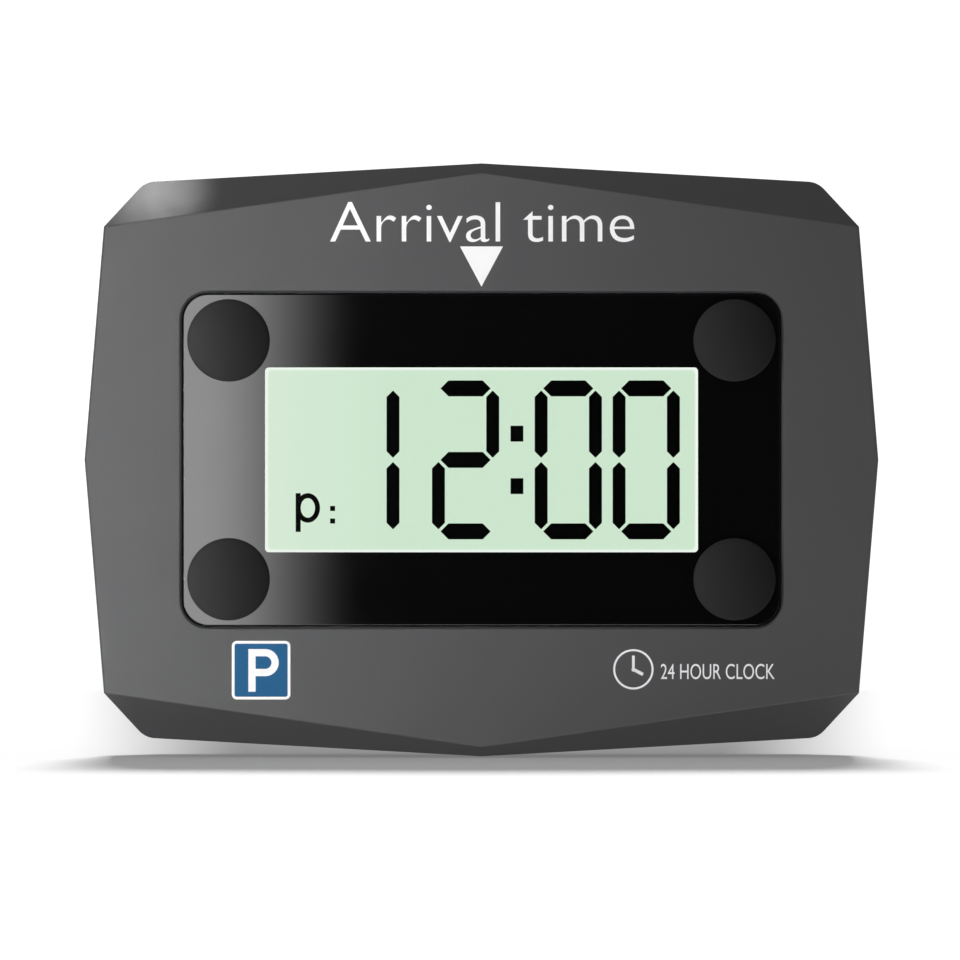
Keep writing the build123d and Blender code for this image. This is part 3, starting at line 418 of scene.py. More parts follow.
window_plastic, tree, surface = bare_material("window_plastic")
view_size = {"Half Width": view_half_width, "Half Height": view_half_height}
in_view = add_node(tree, "Group", view_size, node_tree=inside_frame).outputs["Inside"]
black_print, clear_acrylic = (0.0025, 0.0025, 0.0026, 1), (0.01, 0.012, 0.01, 1)
tree.links.new(blended(tree, in_view, black_print, clear_acrylic), surface.inputs["Base Color"])
tree.links.new(spread(tree, in_view, 0.0, 1.0, 1.0, 0.015), surface.inputs["Alpha"])
place = on_piece(tree)
smears = speckled(tree, place, 130.0, 5.0)
tree.links.new(spread(tree, smears, 0.35, 0.75, 0.02, 0.04), surface.inputs["Roughness"])
ripple = speckled(tree, place, 60.0, 1.0)
relief = add_node(tree, "Bump", {"Height": ripple, "Strength": 0.5, "Distance": 0.000004})
soft_edge = add_node(tree, "Bevel", {"Radius": 0.0001}, samples=6)
tree.links.new(soft_edge.outputs[0], relief.inputs["Normal"])
tree.links.new(relief.outputs[0], surface.inputs["Normal"])
surface.inputs["IOR"].default_value = 1.49
clad(window_plastic, "display_window")

# ---- adhesive pads -------------------------------------------------------------------------------
# Four round pads of dark closed-cell foam with a smooth adhesive skin on each face. They are stuck
# to the window and hold the whole case to the inside of a windscreen.

foam_skin, foam_in, foam_out = shader_group(
    "foam_skin",
    [
        ("Colour", "Color", (0.02, 0.02, 0.02, 1)),
        ("Cell Colour", "Color", (0.01, 0.01, 0.01, 1)),
        ("Cell Scale", "Float", 6000.0),
        ("Roughness", "Float", 0.8),
    ],
    [("Colour", "Color"), ("Roughness", "Float"), ("Height", "Float")],
)
place = on_piece(foam_skin)
cells = add_node(foam_skin, "TexVoronoi", {"Vector": place, "Scale": foam_in["Cell Scale"]})
patches = speckled(foam_skin, place, 700.0, 3.0)
walls = spread(foam_skin, cells.outputs["Distance"], 0.1, 0.7, 0.0, 1.0)
foam_skin.links.new(blended(foam_skin, walls, foam_in["Cell Colour"], foam_in["Colour"]), foam_out["Colour"])
foam_matt = maths(foam_skin, "ADD", foam_in["Roughness"], spread(foam_skin, patches, 0.3, 0.7, -0.06, 0.06))
foam_skin.links.new(foam_matt, foam_out["Roughness"])
foam_skin.links.new(walls, foam_out["Height"])

pad_foam = finish(
    "pad_foam",
    foam_skin,
    {"Colour": (0.03, 0.03, 0.031, 1), "Cell Colour": (0.012, 0.012, 0.012, 1), "Roughness": 0.82},
    bump=0.00004,
)
pad_skin = finish(
    "pad_skin",
    moulded_skin,
    {
        "Worn Colour": (0.03, 0.03, 0.03, 1),
        "Grain Scale": 2600.0,
        "Mottle": 0.1,
        "Roughness": 0.42,
        "Edge Radius": 0.0002,
    },
    bump=0.000004,
    Specular_IOR_Level=0.12,
)
tree = pad_skin.node_tree
# Painted light and shade: each pad's skin colour runs from lighter on its left to darker on its right.
painted_light_across_pad = axes_of(tree, add_node(tree, "TexCoord").outputs["Generated"])["X"]
left_painted_light, right_painted_shade = (0.0225, 0.0225, 0.0233, 1), (0.0045, 0.0045, 0.0047, 1)
skin = next(node for node in tree.nodes if node.type == "GROUP")
tree.links.new(blended(tree, painted_light_across_pad, left_painted_light, right_painted_shade), skin.inputs["Colour"])


def turned(name, profile, centre, steps, materials, borders):
    """A round piece about a line along Y, from (radius, y) points; borders give where each of the
    further materials starts along the profile."""
    mesh = bpy.data.meshes.new(name)
    shape = bmesh.new()
    rings = []
    for radius, y in profile:
        if radius == 0:
            rings.append([shape.verts.new((centre.x, y, centre.z))])
            continue
        turns = [2 * pi * step / steps for step in range(steps)]
        rings.append(
            [shape.verts.new((centre.x + radius * cos(t), y, centre.z + radius * sin(t))) for t in turns]
        )
    for number, (inner, outer) in enumerate(zip(rings, rings[1:])):
        for step in range(steps):
            ahead = (step + 1) % steps
            if len(inner) == 1:
                face = shape.faces.new((inner[0], outer[step], outer[ahead]))
            elif len(outer) == 1:
                face = shape.faces.new((inner[ahead], inner[step], outer[0]))
            else:
                face = shape.faces.new((inner[ahead], inner[step], outer[step], outer[ahead]))
            face.material_index = sum(number >= border for border in borders)
            face.smooth = True
    bmesh.ops.recalc_face_normals(shape, faces=shape.faces)
    shape.to_mesh(mesh)
    shape.free()
    return new_piece(name, mesh, *materials)


skin_thickness = 0.00014
crown = 0.0003  # how far the pad's middle stands above its rim
rim_round = 0.00006
skin_inset = 0.00003  # skin edge, in from the widest part of the pad
waist, swell = 0.00016, 0.0001  # the core's edge lies in by the waist, and swells at half depth
for node_name in [name for name in nodes if name.startswith("adhesive_pad_")]:
    low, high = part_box(node_name)
    centre = (low + high) / 2
    reach = (high.x - low.x) / 2
    core_front, core_back = low.y + crown + skin_thickness, high.y - skin_thickness
    profile = [(reach * share, low.y + crown * share**2) for share in (0, 0.2, 0.4, 0.6, 0.75, 0.88, 0.96)]
    profile += [(reach - rim_round, low.y + crown), (reach, low.y + crown + rim_round)]
    profile.append((reach - skin_inset, core_front))
    for share in [step / 8 for step in range(9)]:
        core_reach = reach + (swell * sin(pi * share) - waist)
        profile.append((core_reach, core_front + share * (core_back - core_front)))
    profile += [(reach - skin_inset, core_back), (reach - skin_inset, high.y), (0, high.y)]
    pad = turned(node_name + "_foam", profile, centre, 96, [pad_skin, pad_foam, pad_skin], (9, 18))
    for vertex in pad.data.vertices:
        if core_front < vertex.co.y < core_back:
            outward = Vector((vertex.co.x - centre.x, 0, vertex.co.z - centre.z)).normalized()
            vertex.co += outward * 0.00003 * noise.noise(vertex.co * 4000)
    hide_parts(node_name)
    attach(pad, "housing")

# ---- liquid crystal display ----------------------------------------------------------------------
# Two thin sheets of glass with the liquid crystal between them, a polariser in front, and a pale
# green reflector behind. The black bars are the driven segments, and the rest is the rear glass.

# Painted glow: the rear glass and the reflector give off a pale green light of their own, in place of the
# light that falls on them.
display_painted_glow, tree, surface = bare_material("display_painted_glow")
place = on_piece(tree)
# Painted light: the base colour and the glow are both lighter towards the left, where the light falls.
painted_light_from_left = spread(tree, axes_of(tree, place)["X"], -view_half_width, -0.4 * view_half_width, 1.0, 0.0)
fibres = spread(tree, speckled(tree, place, 9000.0, 2.0), 0.3, 0.7, -0.06, 0.06)
fibres_and_painted_light = maths(tree, "ADD", maths(tree, "MULTIPLY", painted_light_from_left, 0.5), fibres)
# Painted highlight: a thin, brighter band of glow runs along the edge of the view.
painted_rim_highlight = 0.0004
middle_size = {
    "Half Width": view_half_width - painted_rim_highlight,
    "Half Height": view_half_height - painted_rim_highlight,
    "Softness": 0.0002,
}
inside_painted_rim = add_node(tree, "Group", middle_size, node_tree=inside_frame).outputs["Inside"]
# The dim base colour and the emitted glow both carry the painted light from the left; the glow also carries
# the painted highlight at the rim.
base_green_painted_light = blended(tree, fibres_and_painted_light, (0.2, 0.27, 0.2, 1), (0.26, 0.32, 0.25, 1))
painted_glow_green = blended(tree, fibres_and_painted_light, (0.585, 0.755, 0.59, 1), (0.70, 0.81, 0.69, 1))
painted_glow_colour = blended(tree, inside_painted_rim, (0.82, 0.9, 0.82, 1), painted_glow_green)
tree.links.new(base_green_painted_light, surface.inputs["Base Color"])
tree.links.new(painted_glow_colour, surface.inputs["Emission Color"])
surface.inputs["Emission Strength"].default_value = 1.12
surface.inputs["Roughness"].default_value = 0.5
clad(display_painted_glow, "display_rear_glass", "display_reflector")


def clear_sheet(name, colour, alpha, roughness):
    """A thin clear sheet, with faint dust that shows where light grazes it."""
    material, tree, surface = bare_material(name)
    dust = speckled(tree, on_piece(tree), 1400.0, 3.0)
    tree.links.new(spread(tree, dust, 0.62, 0.8, alpha, 2 * alpha), surface.inputs["Alpha"])
    tree.links.new(spread(tree, dust, 0.3, 0.8, roughness, 2 * roughness), surface.inputs["Roughness"])
    surface.inputs["Base Color"].default_value = colour
    return material


def box_shape(low, high):
    """A plain box between two corners, to be cut into a finer shape."""
    shape = bmesh.new()
    bmesh.ops.create_cube(shape, size=1.0)
    for vertex in shape.verts:
        stretched = Vector([place * span for place, span in zip(vertex.co, high - low)])
        vertex.co = (low + high) / 2 + stretched
    return shape


clad(clear_sheet("polariser_film", (0.02, 0.025, 0.02, 1), 0.015, 0.2), "display_polariser")
display_glass = clear_sheet("display_glass", (0.02, 0.03, 0.025, 1), 0.01, 0.05)
segment_gap = 0.00002  # between the front glass and the segments behind it
ground_edge = 0.00008
low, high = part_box("display_front_glass")
shape = box_shape(low, high - Vector((0, segment_gap, 0)))
bmesh.ops.bevel(shape, geom=shape.edges, offset=ground_edge, segments=2, affect="EDGES")
mesh = bpy.data.meshes.new("front_glass_sheet")
shape.to_mesh(mesh)
shape.free()
glass_sheet = new_piece("front_glass_sheet", mesh, display_glass)
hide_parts("display_front_glass")
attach(glass_sheet, "housing")

segment_black = finish(
    "segment_black",
    ink_skin,
    {"Colour": (0.004, 0.0045, 0.004, 1), "Thin Colour": (0.008, 0.01, 0.008, 1), "Roughness": 0.5},
    bump=0.000002,
)
clad(segment_black, "display_segments")
seal_epoxy = finish(
    "seal_epoxy",
    ink_skin,
    {"Colour": (0.5, 0.52, 0.45, 1), "Thin Colour": (0.4, 0.42, 0.36, 1), "Roughness": 0.35},
    bump=0.000006,
)
clad(seal_epoxy, "display_seal")

# ---- tape, gasket, holder and contact strip ------------------------------------------------------
# Black tape holds the window, and a foam frame seals the display against the cover. A white frame
# holds the display square to the board, and a strip of black and grey rubber layers joins the two.

tape_black = finish(
    "tape_black",
    foam_skin,
    {
        "Colour": (0.02, 0.02, 0.02, 1),
        "Cell Colour": (0.014, 0.014, 0.014, 1),
        "Cell Scale": 9000.0,
        "Roughness": 0.6,
    },
    bump=0.000006,
)
clad(tape_black, "window_tape")
gasket_foam = finish(
    "gasket_foam",
    foam_skin,
    {"Colour": (0.045, 0.045, 0.047, 1), "Cell Colour": (0.015, 0.015, 0.015, 1), "Cell Scale": 4200.0},
    bump=0.00004,
)
clad(gasket_foam, "display_gasket")
holder_plastic = finish(
    "holder_plastic",
    moulded_skin,
    {
        "Colour": (0.74, 0.74, 0.71, 1),
        "Worn Colour": (0.8, 0.8, 0.78, 1),
        "Grain Scale": 7000.0,
        "Roughness": 0.38,
    },
    bump=0.000008,
    rounding=0.00012,
)
clad(holder_plastic, "display_holder")

layered_skin, layer_in, layer_out = shader_group(
    "layered_skin",
    [
        ("Colour", "Color", (0.5, 0.5, 0.52, 1)),
        ("Layer Colour", "Color", (0.02, 0.02, 0.02, 1)),
        ("Layers Per Metre", "Float", 5000.0),
        ("Roughness", "Float", 0.6),
    ],
    [("Colour", "Color"), ("Roughness", "Float"), ("Height", "Float")],
)
along = axes_of(layered_skin, on_piece(layered_skin))["X"]
count = maths(layered_skin, "MULTIPLY", along, layer_in["Layers Per Metre"])
layer = spread(layered_skin, maths(layered_skin, "PINGPONG", count, 1.0), 0.45, 0.55, 0.0, 1.0)
striped = blended(layered_skin, layer, layer_in["Layer Colour"], layer_in["Colour"])
layer_matt = maths(layered_skin, "MULTIPLY", layer_in["Roughness"], 1.0)
layered_skin.links.new(striped, layer_out["Colour"])
layered_skin.links.new(layer_matt, layer_out["Roughness"])
layered_skin.links.new(layer, layer_out["Height"])
strip_rubber = finish("strip_rubber", layered_skin, {"Roughness": 0.65}, bump=0.000006)
clad(strip_rubber, "contact_strip")

# ---- circuit board and its parts -----------------------------------------------------------------
# A glass-fibre board with green solder mask over copper tracks. The parts are soldered on its back:
# the controller, its watch crystal, a motion sensor, small ceramic parts and a reservoir capacitor.

board_mask, tree, surface = bare_material("board_mask")
place = on_piece(tree)
second, nearest = [
    add_node(tree, "TexVoronoi", {"Vector": place, "Scale": 420.0}, feature=feature, distance="MANHATTAN")
    for feature in ("F2", "F1")
]
between = maths(tree, "SUBTRACT", second.outputs["Distance"], nearest.outputs["Distance"])
track = spread(tree, between, 0.1, 0.16, 1.0, 0.0)
weave = speckled(tree, place, 2600.0, 2.0)
green = blended(tree, track, (0.008, 0.075, 0.022, 1), (0.02, 0.15, 0.05, 1))
tree.links.new(green, surface.inputs["Base Color"])
tree.links.new(spread(tree, weave, 0.3, 0.7, 0.25, 0.4), surface.inputs["Roughness"])
relief = add_node(tree, "Bump", {"Height": track, "Strength": 1.0, "Distance": 0.00003})
tree.links.new(relief.outputs[0], surface.inputs["Normal"])
clad(board_mask, "circuit_board")

chip_epoxy = finish(
    "chip_epoxy",
    moulded_skin,
    {
        "Colour": (0.018, 0.018, 0.019, 1),
        "Worn Colour": (0.05, 0.05, 0.05, 1),
        "Grain Scale": 12000.0,
        "Roughness": 0.55,
    },
    bump=0.00001,
)
clad(chip_epoxy, "controller_chip", "motion_sensor", "switch_base", "switch_plunger")

metal_skin, metal_in, metal_out = shader_group(
    "metal_skin",
    [
        ("Colour", "Color", (0.6, 0.6, 0.6, 1)),
        ("Dull Colour", "Color", (0.4, 0.4, 0.4, 1)),
        ("Stretch", "Vector", (1.0, 1.0, 1.0)),
        ("Line Scale", "Float", 3000.0),
        ("Roughness", "Float", 0.3),
    ],
    [("Colour", "Color"), ("Roughness", "Float"), ("Height", "Float")],
)
place = on_piece(metal_skin)
pulled = add_node(metal_skin, "VectorMath", {0: place, 1: metal_in["Stretch"]}, operation="MULTIPLY")
lines = speckled(metal_skin, pulled.outputs[0], metal_in["Line Scale"], 4.0)
tarnish = speckled(metal_skin, place, 380.0, 5.0)
dull = spread(metal_skin, tarnish, 0.45, 0.75, 0.0, 0.8)
tarnished = blended(metal_skin, dull, metal_in["Colour"], metal_in["Dull Colour"])
metal_skin.links.new(tarnished, metal_out["Colour"])
metal_matt = maths(metal_skin, "ADD", metal_in["Roughness"], spread(metal_skin, lines, 0.3, 0.7, -0.07, 0.1))
metal_skin.links.new(metal_matt, metal_out["Roughness"])
metal_skin.links.new(lines, metal_out["Height"])

tin = finish(
    "tin", metal_skin,
    {"Colour": (0.62, 0.62, 0.61, 1), "Dull Colour": (0.42, 0.42, 0.41, 1), "Roughness": 0.34},
    bump=0.000004, Metallic=1.0,
)
clad(tin, "controller_leads", "crystal_legs", "switch_legs")
nickel = finish(
    "nickel", metal_skin,
    {
        "Colour": (0.6, 0.58, 0.53, 1),
        "Dull Colour": (0.42, 0.4, 0.36, 1),
        "Stretch": (1.0, 1.0, 0.1),
        "Roughness": 0.28,
    },
    bump=0.000004, rounding=0.00006, Metallic=1.0,
)
clad(nickel, "clock_crystal", "switch_lid", "switch_dome")


def capped(name, body_colour, cap_colour):
    """A small ceramic part with solder caps on its left and right ends."""
    material, tree, surface = bare_material(name)
    facing = add_node(tree, "NewGeometry").outputs["Normal"]
    sideways = maths(tree, "ABSOLUTE", axes_of(tree, facing)["X"])
    cap = spread(tree, sideways, 0.4, 0.6, 0.0, 1.0)
    speckle = speckled(tree, on_piece(tree), 9000.0, 3.0)
    body = blended(tree, spread(tree, speckle, 0.35, 0.65, 0.0, 0.3), body_colour, cap_colour)
    tree.links.new(blended(tree, cap, body, cap_colour), surface.inputs["Base Color"])
    tree.links.new(cap, surface.inputs["Metallic"])
    tree.links.new(spread(tree, speckle, 0.3, 0.7, 0.35, 0.5), surface.inputs["Roughness"])
    return material


solder = (0.6, 0.6, 0.58, 1)
clad(capped("capacitor_ceramic", (0.36, 0.24, 0.14, 1), solder), "board_capacitors")
clad(capped("resistor_ceramic", (0.02, 0.02, 0.022, 1), solder), "board_resistors")

can_aluminium, tree, surface = bare_material("can_aluminium")
low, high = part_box("reservoir_capacitor")
place = on_piece(tree)
axes = axes_of(tree, place)
base = spread(tree, axes["Y"], low.y + 0.0008, low.y + 0.00085, 1.0, 0.0)
stripe = maths(
    tree, "MULTIPLY",
    spread(tree, axes["X"], high.x - 0.0018, high.x - 0.00175, 0.0, 1.0),
    spread(tree, axes["Y"], high.y - 0.0002, high.y - 0.0001, 0.0, 1.0),
)
black_part = maths(tree, "MAXIMUM", base, stripe)
can_colour = blended(tree, black_part, (0.7, 0.7, 0.71, 1), (0.02, 0.02, 0.02, 1))
tree.links.new(can_colour, surface.inputs["Base Color"])
tree.links.new(spread(tree, black_part, 0.0, 1.0, 1.0, 0.0), surface.inputs["Metallic"])
brush = speckled(tree, place, 2500.0, 3.0)
tree.links.new(spread(tree, brush, 0.3, 0.7, 0.25, 0.42), surface.inputs["Roughness"])
clad(can_aluminium, "reservoir_capacitor")

# ---- screws --------------------------------------------------------------------------------------
# Zinc-plated pan-head screws with a cross slot. They cut their own threads in the front cover's
# bosses and posts, and the four long ones are at the bottom of deep holes in the rear cover.

zinc = finish(
    "zinc", metal_skin,
    {
        "Colour": (0.5, 0.51, 0.53, 1),
        "Dull Colour": (0.3, 0.3, 0.31, 1),
        "Line Scale": 1800.0,
        "Roughness": 0.32,
    },
    bump=0.00001, rounding=0.0001, Metallic=1.0,
)
clad(zinc, "case_screws", "board_screws")

# ---- setting button ------------------------------------------------------------------------------
# A dished blue push button on the back, held in by its flange. Its small clock sign is printed in
# white. Pressing it for a moment sets the clock, through the tactile switch on the board.

button_plastic = finish(
    "button_plastic",
    moulded_skin,
    {
        "Colour": (0.03, 0.1, 0.27, 1),
        "Worn Colour": (0.09, 0.18, 0.36, 1),
        "Grain Scale": 4200.0,
        "Mottle": 0.05,
        "Roughness": 0.42,
        "Wear": 0.6,
    },
    bump=0.00001,
    rounding=0.0001,
)
clad(button_plastic, "set_button")

facing_rear = Matrix.Rotation(pi, 4, "Z") @ facing_front
low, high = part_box("set_button")
button_middle = (low + high) / 2
dish_radius, dish_depth = 0.040, 0.0005
clock_out, clock_stroke = 0.0024, 0.00032


def onto_dish(piece):
    """Lowers a printed sign onto the button's hollow, so that it stands an ink's depth proud."""
    for vertex in piece.data.vertices:
        away = Vector((vertex.co.x - button_middle.x, vertex.co.z - button_middle.z)).length
        hollow = dish_depth - away**2 / (2 * dish_radius)
        vertex.co.y -= max(hollow, 0.0)


clock_ring = [circle(clock_out), circle(clock_out - clock_stroke)]
ring = flat_curve("button_ring_print", clock_ring, ink_depth)
sign_place = (button_middle.x, high.y, button_middle.z)
onto_dish(settle(ring, "button_ring_print", facing_rear, sign_place, "set_button", white_ink))
for name, start, end, width in (
    ("button_minute_hand_print", (0, -0.00016), (0, 0.0017), 0.00032),
    ("button_hour_hand_print", (-0.00016, 0), (0.0012, 0), 0.00038),
):
    hand = flat_curve(name, [bar(start, end, width)], ink_depth)
    onto_dish(settle(hand, name, facing_rear, sign_place, "set_button", white_ink))

# ---- grip and arrow on the battery door ----------------------------------------------------------
# Five raised ribs and an arrow are moulded into the door near its lower edge, where a thumb pushes
# it open. They are the same grey plastic as the door.

low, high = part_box("battery_door")
door_face = high.y
rib_rise = 0.00035
rib_length, rib_width, rib_pitch = 0.012, 0.0007, 0.0014
rib_taper = 0.0008  # each rib is this much shorter at both ends than the one nearer the middle
rib_foot = low.z + 0.0036
arrow_half, arrow_length, arrow_gap = 0.0026, 0.003, 0.0006


def raised(name, outline, rise, face, body, material):
    """A moulded mark with sloping sides that rises from a face of the rear."""
    mesh = bpy.data.meshes.new(name)
    shape = bmesh.new()
    middle = sum((Vector(point) for point in outline), Vector((0, 0))) / len(outline)
    foot = [shape.verts.new((across, face - rise * 0.2, up)) for across, up in outline]
    crest = []
    for across, up in outline:
        inward = (middle - Vector((across, up))).normalized() * rise * 0.5
        crest.append(shape.verts.new((across + inward.x, face + rise, up + inward.y)))
    shape.faces.new(crest)
    shape.faces.new(list(reversed(foot)))
    for step in range(len(outline)):
        ahead = (step + 1) % len(outline)
        shape.faces.new((foot[step], foot[ahead], crest[ahead], crest[step]))
    bmesh.ops.recalc_face_normals(shape, faces=shape.faces)
    shape.to_mesh(mesh)
    shape.free()
    piece = new_piece(name, mesh, material)
    rounder = piece.modifiers.new("rounded", "BEVEL")
    rounder.width = rise * 0.35
    rounder.segments = 3
    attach(piece, body)
    return piece


for number in range(5):
    up = rib_foot + number * rib_pitch
    half = rib_length / 2 - rib_taper * abs(number - 2)
    outline = bar((-half, up), (half, up), rib_width)
    raised(f"door_rib_{number + 1}", outline, rib_rise, door_face, "battery_door", case_plastic)
arrow_foot = rib_foot + 5 * rib_pitch + arrow_gap
arrow_head = arrow_foot + arrow_length
arrow = [(-arrow_half, arrow_head), (arrow_half, arrow_head), (0, arrow_foot)]
raised("door_arrow", arrow, rib_rise, door_face, "battery_door", case_plastic)

# ---- foam under the battery door -----------------------------------------------------------------
# A strip of grey foam is stuck inside the door. It presses on the two cells and stops their rattle.

edge_droop, droop_reach = 0.00018, 0.0008  # the cut edges sag by this much, this far in
low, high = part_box("door_foam")
middle = (low + high) / 2
shape = box_shape(low, high)
bmesh.ops.subdivide_edges(shape, edges=shape.edges, cuts=11, use_grid_fill=True)
for vertex in shape.verts:
    from_end = min(vertex.co.x - low.x, high.x - vertex.co.x, vertex.co.z - low.z, high.z - vertex.co.z)
    droop = edge_droop * (1 - min(from_end / droop_reach, 1.0)) ** 2
    if vertex.co.y < middle.y:
        vertex.co.y += droop + 0.00002 * noise.noise(vertex.co * 3000)
for face in shape.faces:
    face.smooth = True
mesh = bpy.data.meshes.new("door_foam_strip")
shape.to_mesh(mesh)
shape.free()
foam_strip = new_piece("door_foam_strip", mesh, gasket_foam)
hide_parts("door_foam")
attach(foam_strip, "battery_door")

# ---- sounder -------------------------------------------------------------------------------------
# A brass disc with a silvered ceramic disc on it, glued to a ring behind the holes of the rear
# cover. Two thin wires join it to the board.

brass = finish(
    "brass", metal_skin,
    {
        "Colour": (0.72, 0.5, 0.2, 1),
        "Dull Colour": (0.45, 0.29, 0.12, 1),
        "Stretch": (0.08, 1.0, 1.0),
        "Roughness": 0.3,
    },
    bump=0.000006, Metallic=1.0,
)
clad(brass, "sounder_plate")
silvered = finish(
    "silvered", metal_skin,
    {"Colour": (0.75, 0.74, 0.71, 1), "Dull Colour": (0.6, 0.58, 0.53, 1), "Roughness": 0.45},
    bump=0.000004, Metallic=0.6,
)
clad(silvered, "sounder_ceramic")

# ---- cells, contacts and wires -------------------------------------------------------------------
# Two small round cells lie head to tail in the bay, in printed sleeves. Nickel-plated plates and
# conical springs hold them, and two PVC-covered wires lead to the board.

cell_steel = finish(
    "cell_steel", metal_skin,
    {
        "Colour": (0.66, 0.66, 0.66, 1),
        "Dull Colour": (0.5, 0.5, 0.5, 1),
        "Stretch": (0.05, 1.0, 1.0),
        "Roughness": 0.22,
    },
    bump=0.000003, rounding=0.0001, Metallic=1.0,
)
clad(cell_steel, "battery_can_upper", "battery_can_lower")


def sleeve_print(name, plus_x, way):
    """A sleeve that is silver-grey towards its plus end and dark green over the rest."""
    material, tree, surface = bare_material(name)
    place = on_piece(tree)
    from_plus = maths(tree, "MULTIPLY", maths(tree, "SUBTRACT", axes_of(tree, place)["X"], plus_x), way)
    silver = spread(tree, from_plus, 0.0120, 0.0121, 1.0, 0.0)
    ring = maths(
        tree, "MULTIPLY", spread(tree, from_plus, 0.0128, 0.0129, 0.0, 1.0),
        spread(tree, from_plus, 0.0134, 0.0135, 1.0, 0.0),
    )
    ground = blended(tree, silver, (0.012, 0.075, 0.045, 1), (0.48, 0.49, 0.5, 1))
    tree.links.new(blended(tree, ring, ground, (0.75, 0.75, 0.72, 1)), surface.inputs["Base Color"])
    tree.links.new(maths(tree, "MULTIPLY", silver, 0.8), surface.inputs["Metallic"])
    scuffs = speckled(tree, place, 600.0, 6.0)
    tree.links.new(spread(tree, scuffs, 0.35, 0.75, 0.18, 0.38), surface.inputs["Roughness"])
    relief = add_node(tree, "Bump", {"Height": scuffs, "Strength": 0.4, "Distance": 0.00001})
    tree.links.new(relief.outputs[0], surface.inputs["Normal"])
    surface.inputs["Coat Weight"].default_value = 0.4
    return material


low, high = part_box("battery_can_upper")
clad(sleeve_print("sleeve_upper_print", low.x, 1.0), "battery_sleeve_upper")
low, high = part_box("battery_can_lower")
clad(sleeve_print("sleeve_lower_print", high.x, -1.0), "battery_sleeve_lower")
clad(nickel, "contact_plus", "contact_minus", "contact_link", "contact_spring_upper", "contact_spring_lower")


def wire_cover(name, colour, worn):
    """Soft PVC with a slight sheen."""
    return finish(
        name,
        moulded_skin,
        {"Colour": colour, "Worn Colour": worn, "Grain Scale": 9000.0, "Roughness": 0.36},
        bump=0.000004,
    )


red_cover = wire_cover("wire_red_cover", (0.42, 0.02, 0.018, 1), (0.5, 0.06, 0.05, 1))
black_cover = wire_cover("wire_black_cover", (0.015, 0.015, 0.016, 1), (0.04, 0.04, 0.04, 1))
clad(red_cover, "battery_wire_plus", "sounder_wire_signal")
clad(black_cover, "battery_wire_minus", "sounder_wire_ground")

# ---- floor ---------------------------------------------------------------------------------------
# A round sheet of translucent white board, lit a little from below, which fades out into the white
# of the studio.

floor_radius = 0.8
floor_drop = 0.0002  # below the case, so that the two don't touch
white_board, tree, surface = bare_material("floor_board")
place = on_piece(tree)
away = add_node(tree, "VectorMath", {0: place}, operation="LENGTH").outputs["Value"]
tree.links.new(spread(tree, away, 0.3, floor_radius, 1.0, 0.0), surface.inputs["Alpha"])
fibres = speckled(tree, place, 500.0, 4.0)
tree.links.new(spread(tree, fibres, 0.3, 0.7, 0.8, 0.95), surface.inputs["Roughness"])
surface.inputs["Base Color"].default_value = (0.45, 0.45, 0.45, 1)
surface.inputs["Emission Color"].default_value = (1, 1, 1, 1)
surface.inputs["Emission Strength"].default_value = 0.18
surface.inputs["Specular IOR Level"].default_value = 0.1
floor_mesh = bpy.data.meshes.new("floor")
shape = bmesh.new()
bmesh.ops.create_circle(shape, cap_ends=True, radius=floor_radius, segments=96)
shape.to_mesh(floor_mesh)
shape.free()
floor = new_piece("floor", floor_mesh, white_board)
floor.location = (0, 0.2, cad_box[0][2] - floor_drop)

# ---- light and camera ----------------------------------------------------------------------------
# Soft boxes stand at the left, above and below, and a narrow beam falls on the top left facet. A
# glowing card shows as the gleam in the window. A light from behind falls on the floor alone, and a
# flag softens the case's shadow. The camera has a long lens and looks straight at the display.

scene = bpy.context.scene
scene.view_settings.view_transform = "Standard"
scene.world = bpy.data.worlds.new("studio")
scene.world.use_nodes = True
tree = scene.world.node_tree
ray = add_node(tree, "LightPath").outputs
seen = maths(tree, "MULTIPLY", ray["Is Camera Ray"], 1.1)
fill = maths(tree, "MULTIPLY", ray["Is Diffuse Ray"], 0.35)
shine = maths(tree, "MULTIPLY", ray["Is Glossy Ray"], 0.25)
strength = maths(tree, "ADD", maths(tree, "ADD", seen, fill), shine)
tree.links.new(strength, tree.nodes["Background"].inputs["Strength"])
tree.nodes["Background"].inputs["Color"].default_value = (1, 1, 1, 1)


def soft_box(name, place, aim, width, height, power, spread_angle=180):
    """A rectangular area light aimed at a point, with its beam held to an angle."""
    light = bpy.data.lights.new(name, "AREA")
    light.shape = "RECTANGLE"
    light.size, light.size_y = width, height
    light.energy = power
    light.spread = radians(spread_angle)
    lamp = bpy.data.objects.new(name, light)
    lamp.location = place
    lamp.rotation_euler = (Vector(aim) - Vector(place)).to_track_quat("-Z", "Y").to_euler()
    scene.collection.objects.link(lamp)
    return lamp


def never_floor(lamp):
    """Keeps a light off the floor, and the floor out of its way."""
    for role in ("receiver", "blocker"):
        spared = bpy.data.collections.new(f"{lamp.name}_{role}")
        spared.objects.link(floor)
        spared.collection_objects[0].light_linking.link_state = "EXCLUDE"
        setattr(lamp.light_linking, role + "_collection", spared)


case_middle = (0, 0, 0)
corner_facet = (-0.0445, 0.005, 0.0375)
never_floor(soft_box("left_strip", (-0.3, -1.0, 0.0), (-0.09, 0, 0), 0.02, 0.7, 0.185, 17))
never_floor(soft_box("upper_left_box", (-0.8, -0.3, 0.5), case_middle, 0.3, 0.3, 2.4))
never_floor(soft_box("low_box", (-0.02, -0.8, -0.6), case_middle, 0.3, 0.3, 1.8))
never_floor(soft_box("corner_light", (-0.062, -0.02, 0.34), corner_facet, 0.003, 0.003, 0.00027, 3.2))

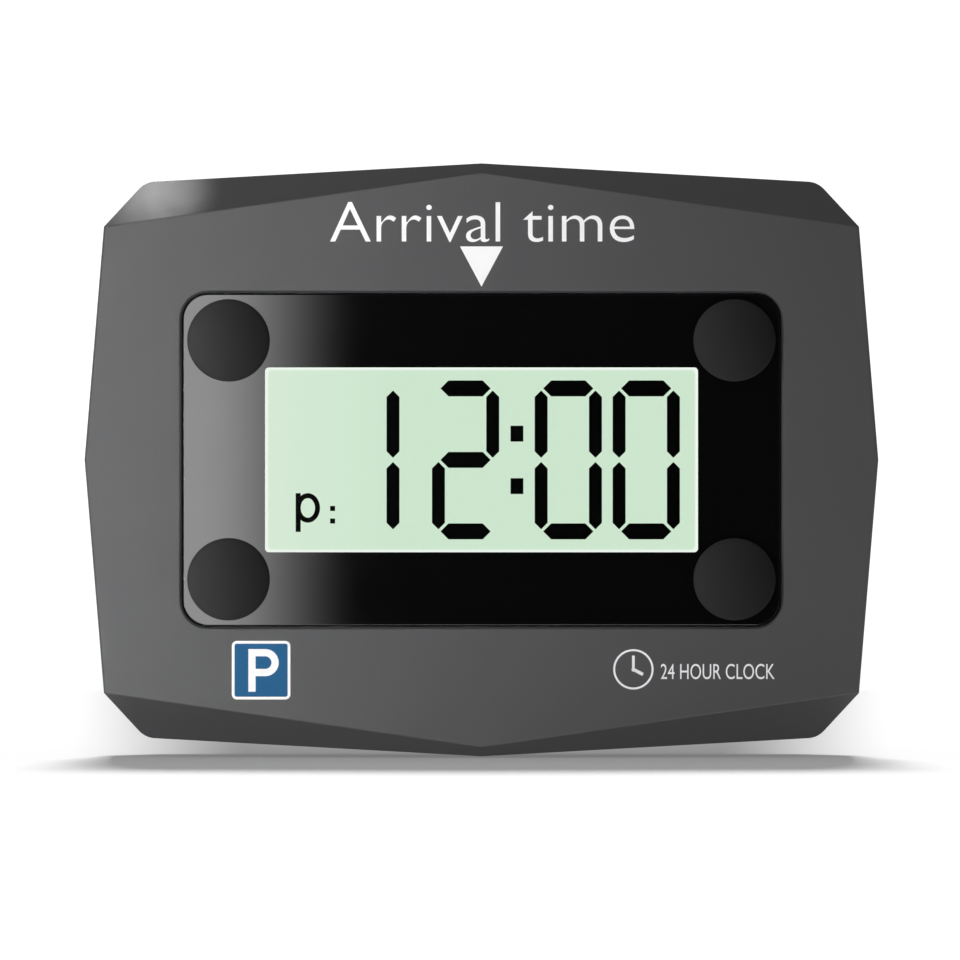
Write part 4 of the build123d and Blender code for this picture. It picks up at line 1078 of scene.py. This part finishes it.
back_sun = bpy.data.lights.new("back_light", "SUN")
back_sun.energy = 5.6
back_sun.angle = radians(14)
back_light = bpy.data.objects.new("back_light", back_sun)
back_light.rotation_euler = Vector((0, -0.6, -0.79)).to_track_quat("-Z", "Y").to_euler()
back_light.light_linking.receiver_collection = bpy.data.collections.new("back_light_lights")
back_light.light_linking.receiver_collection.objects.link(floor)
scene.collection.objects.link(back_light)

card_half_width, card_half_height = 0.3, 0.2
card_light, tree, surface = bare_material("card_light")
axes = axes_of(tree, add_node(tree, "TexCoord").outputs["Generated"])
across = spread(tree, axes["X"], 0.0, 1.0, -card_half_width, card_half_width)
up = spread(tree, axes["Y"], 0.0, 1.0, -card_half_height, card_half_height)
ramp = add_node(
    tree, "MapRange", {0: across, 1: -0.0313, 2: -0.081, 3: 0.0, 4: 1.0}, interpolation_type="SMOOTHSTEP"
).outputs[0]
glow = maths(tree, "MULTIPLY", maths(tree, "POWER", ramp, 1.4), spread(tree, across, -0.12, -0.11, 0.0, 1.0))
glow = maths(tree, "MULTIPLY", glow, spread(tree, maths(tree, "ABSOLUTE", up), 0.07, 0.08, 1.0, 0.0))
tree.links.new(blended(tree, glow, (0, 0, 0, 1), (1, 1, 1, 1)), surface.inputs["Emission Color"])
surface.inputs["Emission Strength"].default_value = 7.0
surface.inputs["Base Color"].default_value = (0, 0, 0, 1)


def studio_card(name, corners, material, unseen_by):
    """A thin four-cornered card that some kinds of ray pass through."""
    mesh = bpy.data.meshes.new(name)
    mesh.from_pydata(corners, [], [(0, 1, 2, 3)])
    card = new_piece(name, mesh, material)
    for kind in unseen_by:
        setattr(card, "visible_" + kind, False)
    return card


card_corners = [(-card_half_width, -card_half_height, 0), (card_half_width, -card_half_height, 0)]
card_corners += [(card_half_width, card_half_height, 0), (-card_half_width, card_half_height, 0)]
card = studio_card("light_card", card_corners, card_light, ("camera", "diffuse", "shadow"))
card.rotation_euler = (radians(90), 0, 0)
card.location = (0, -1.32, 0)

near_half, near_y = 0.043, 0.052
far_half, far_y = 0.060, 0.45
flag_corners = [(-near_half, near_y, 0), (near_half, near_y, 0), (far_half, far_y, 0), (-far_half, far_y, 0)]
cloth_colours = {"Colour": (0.01, 0.01, 0.01, 1), "Thin Colour": (0.02, 0.02, 0.02, 1), "Roughness": 0.9}
black_cloth = finish("flag_cloth", ink_skin, cloth_colours, bump=0.0001)
unseen = ("camera", "diffuse", "glossy", "transmission")
flag = studio_card("shadow_flag", flag_corners, black_cloth, unseen)
flag.location = (0, 0, 0.04)

camera_data = bpy.data.cameras.new("camera")
camera = bpy.data.objects.new("camera", camera_data)
distance = 1.2
seen_width = 0.12937
camera_data.sensor_width = 36.0
camera_data.lens = 36.0 * (distance + front_face) / seen_width
camera_data.clip_start = 0.01
camera.location = (-0.0002, -distance, -0.00272)
camera.rotation_euler = (radians(90), 0, 0)
scene.collection.objects.link(camera)
scene.camera = camera
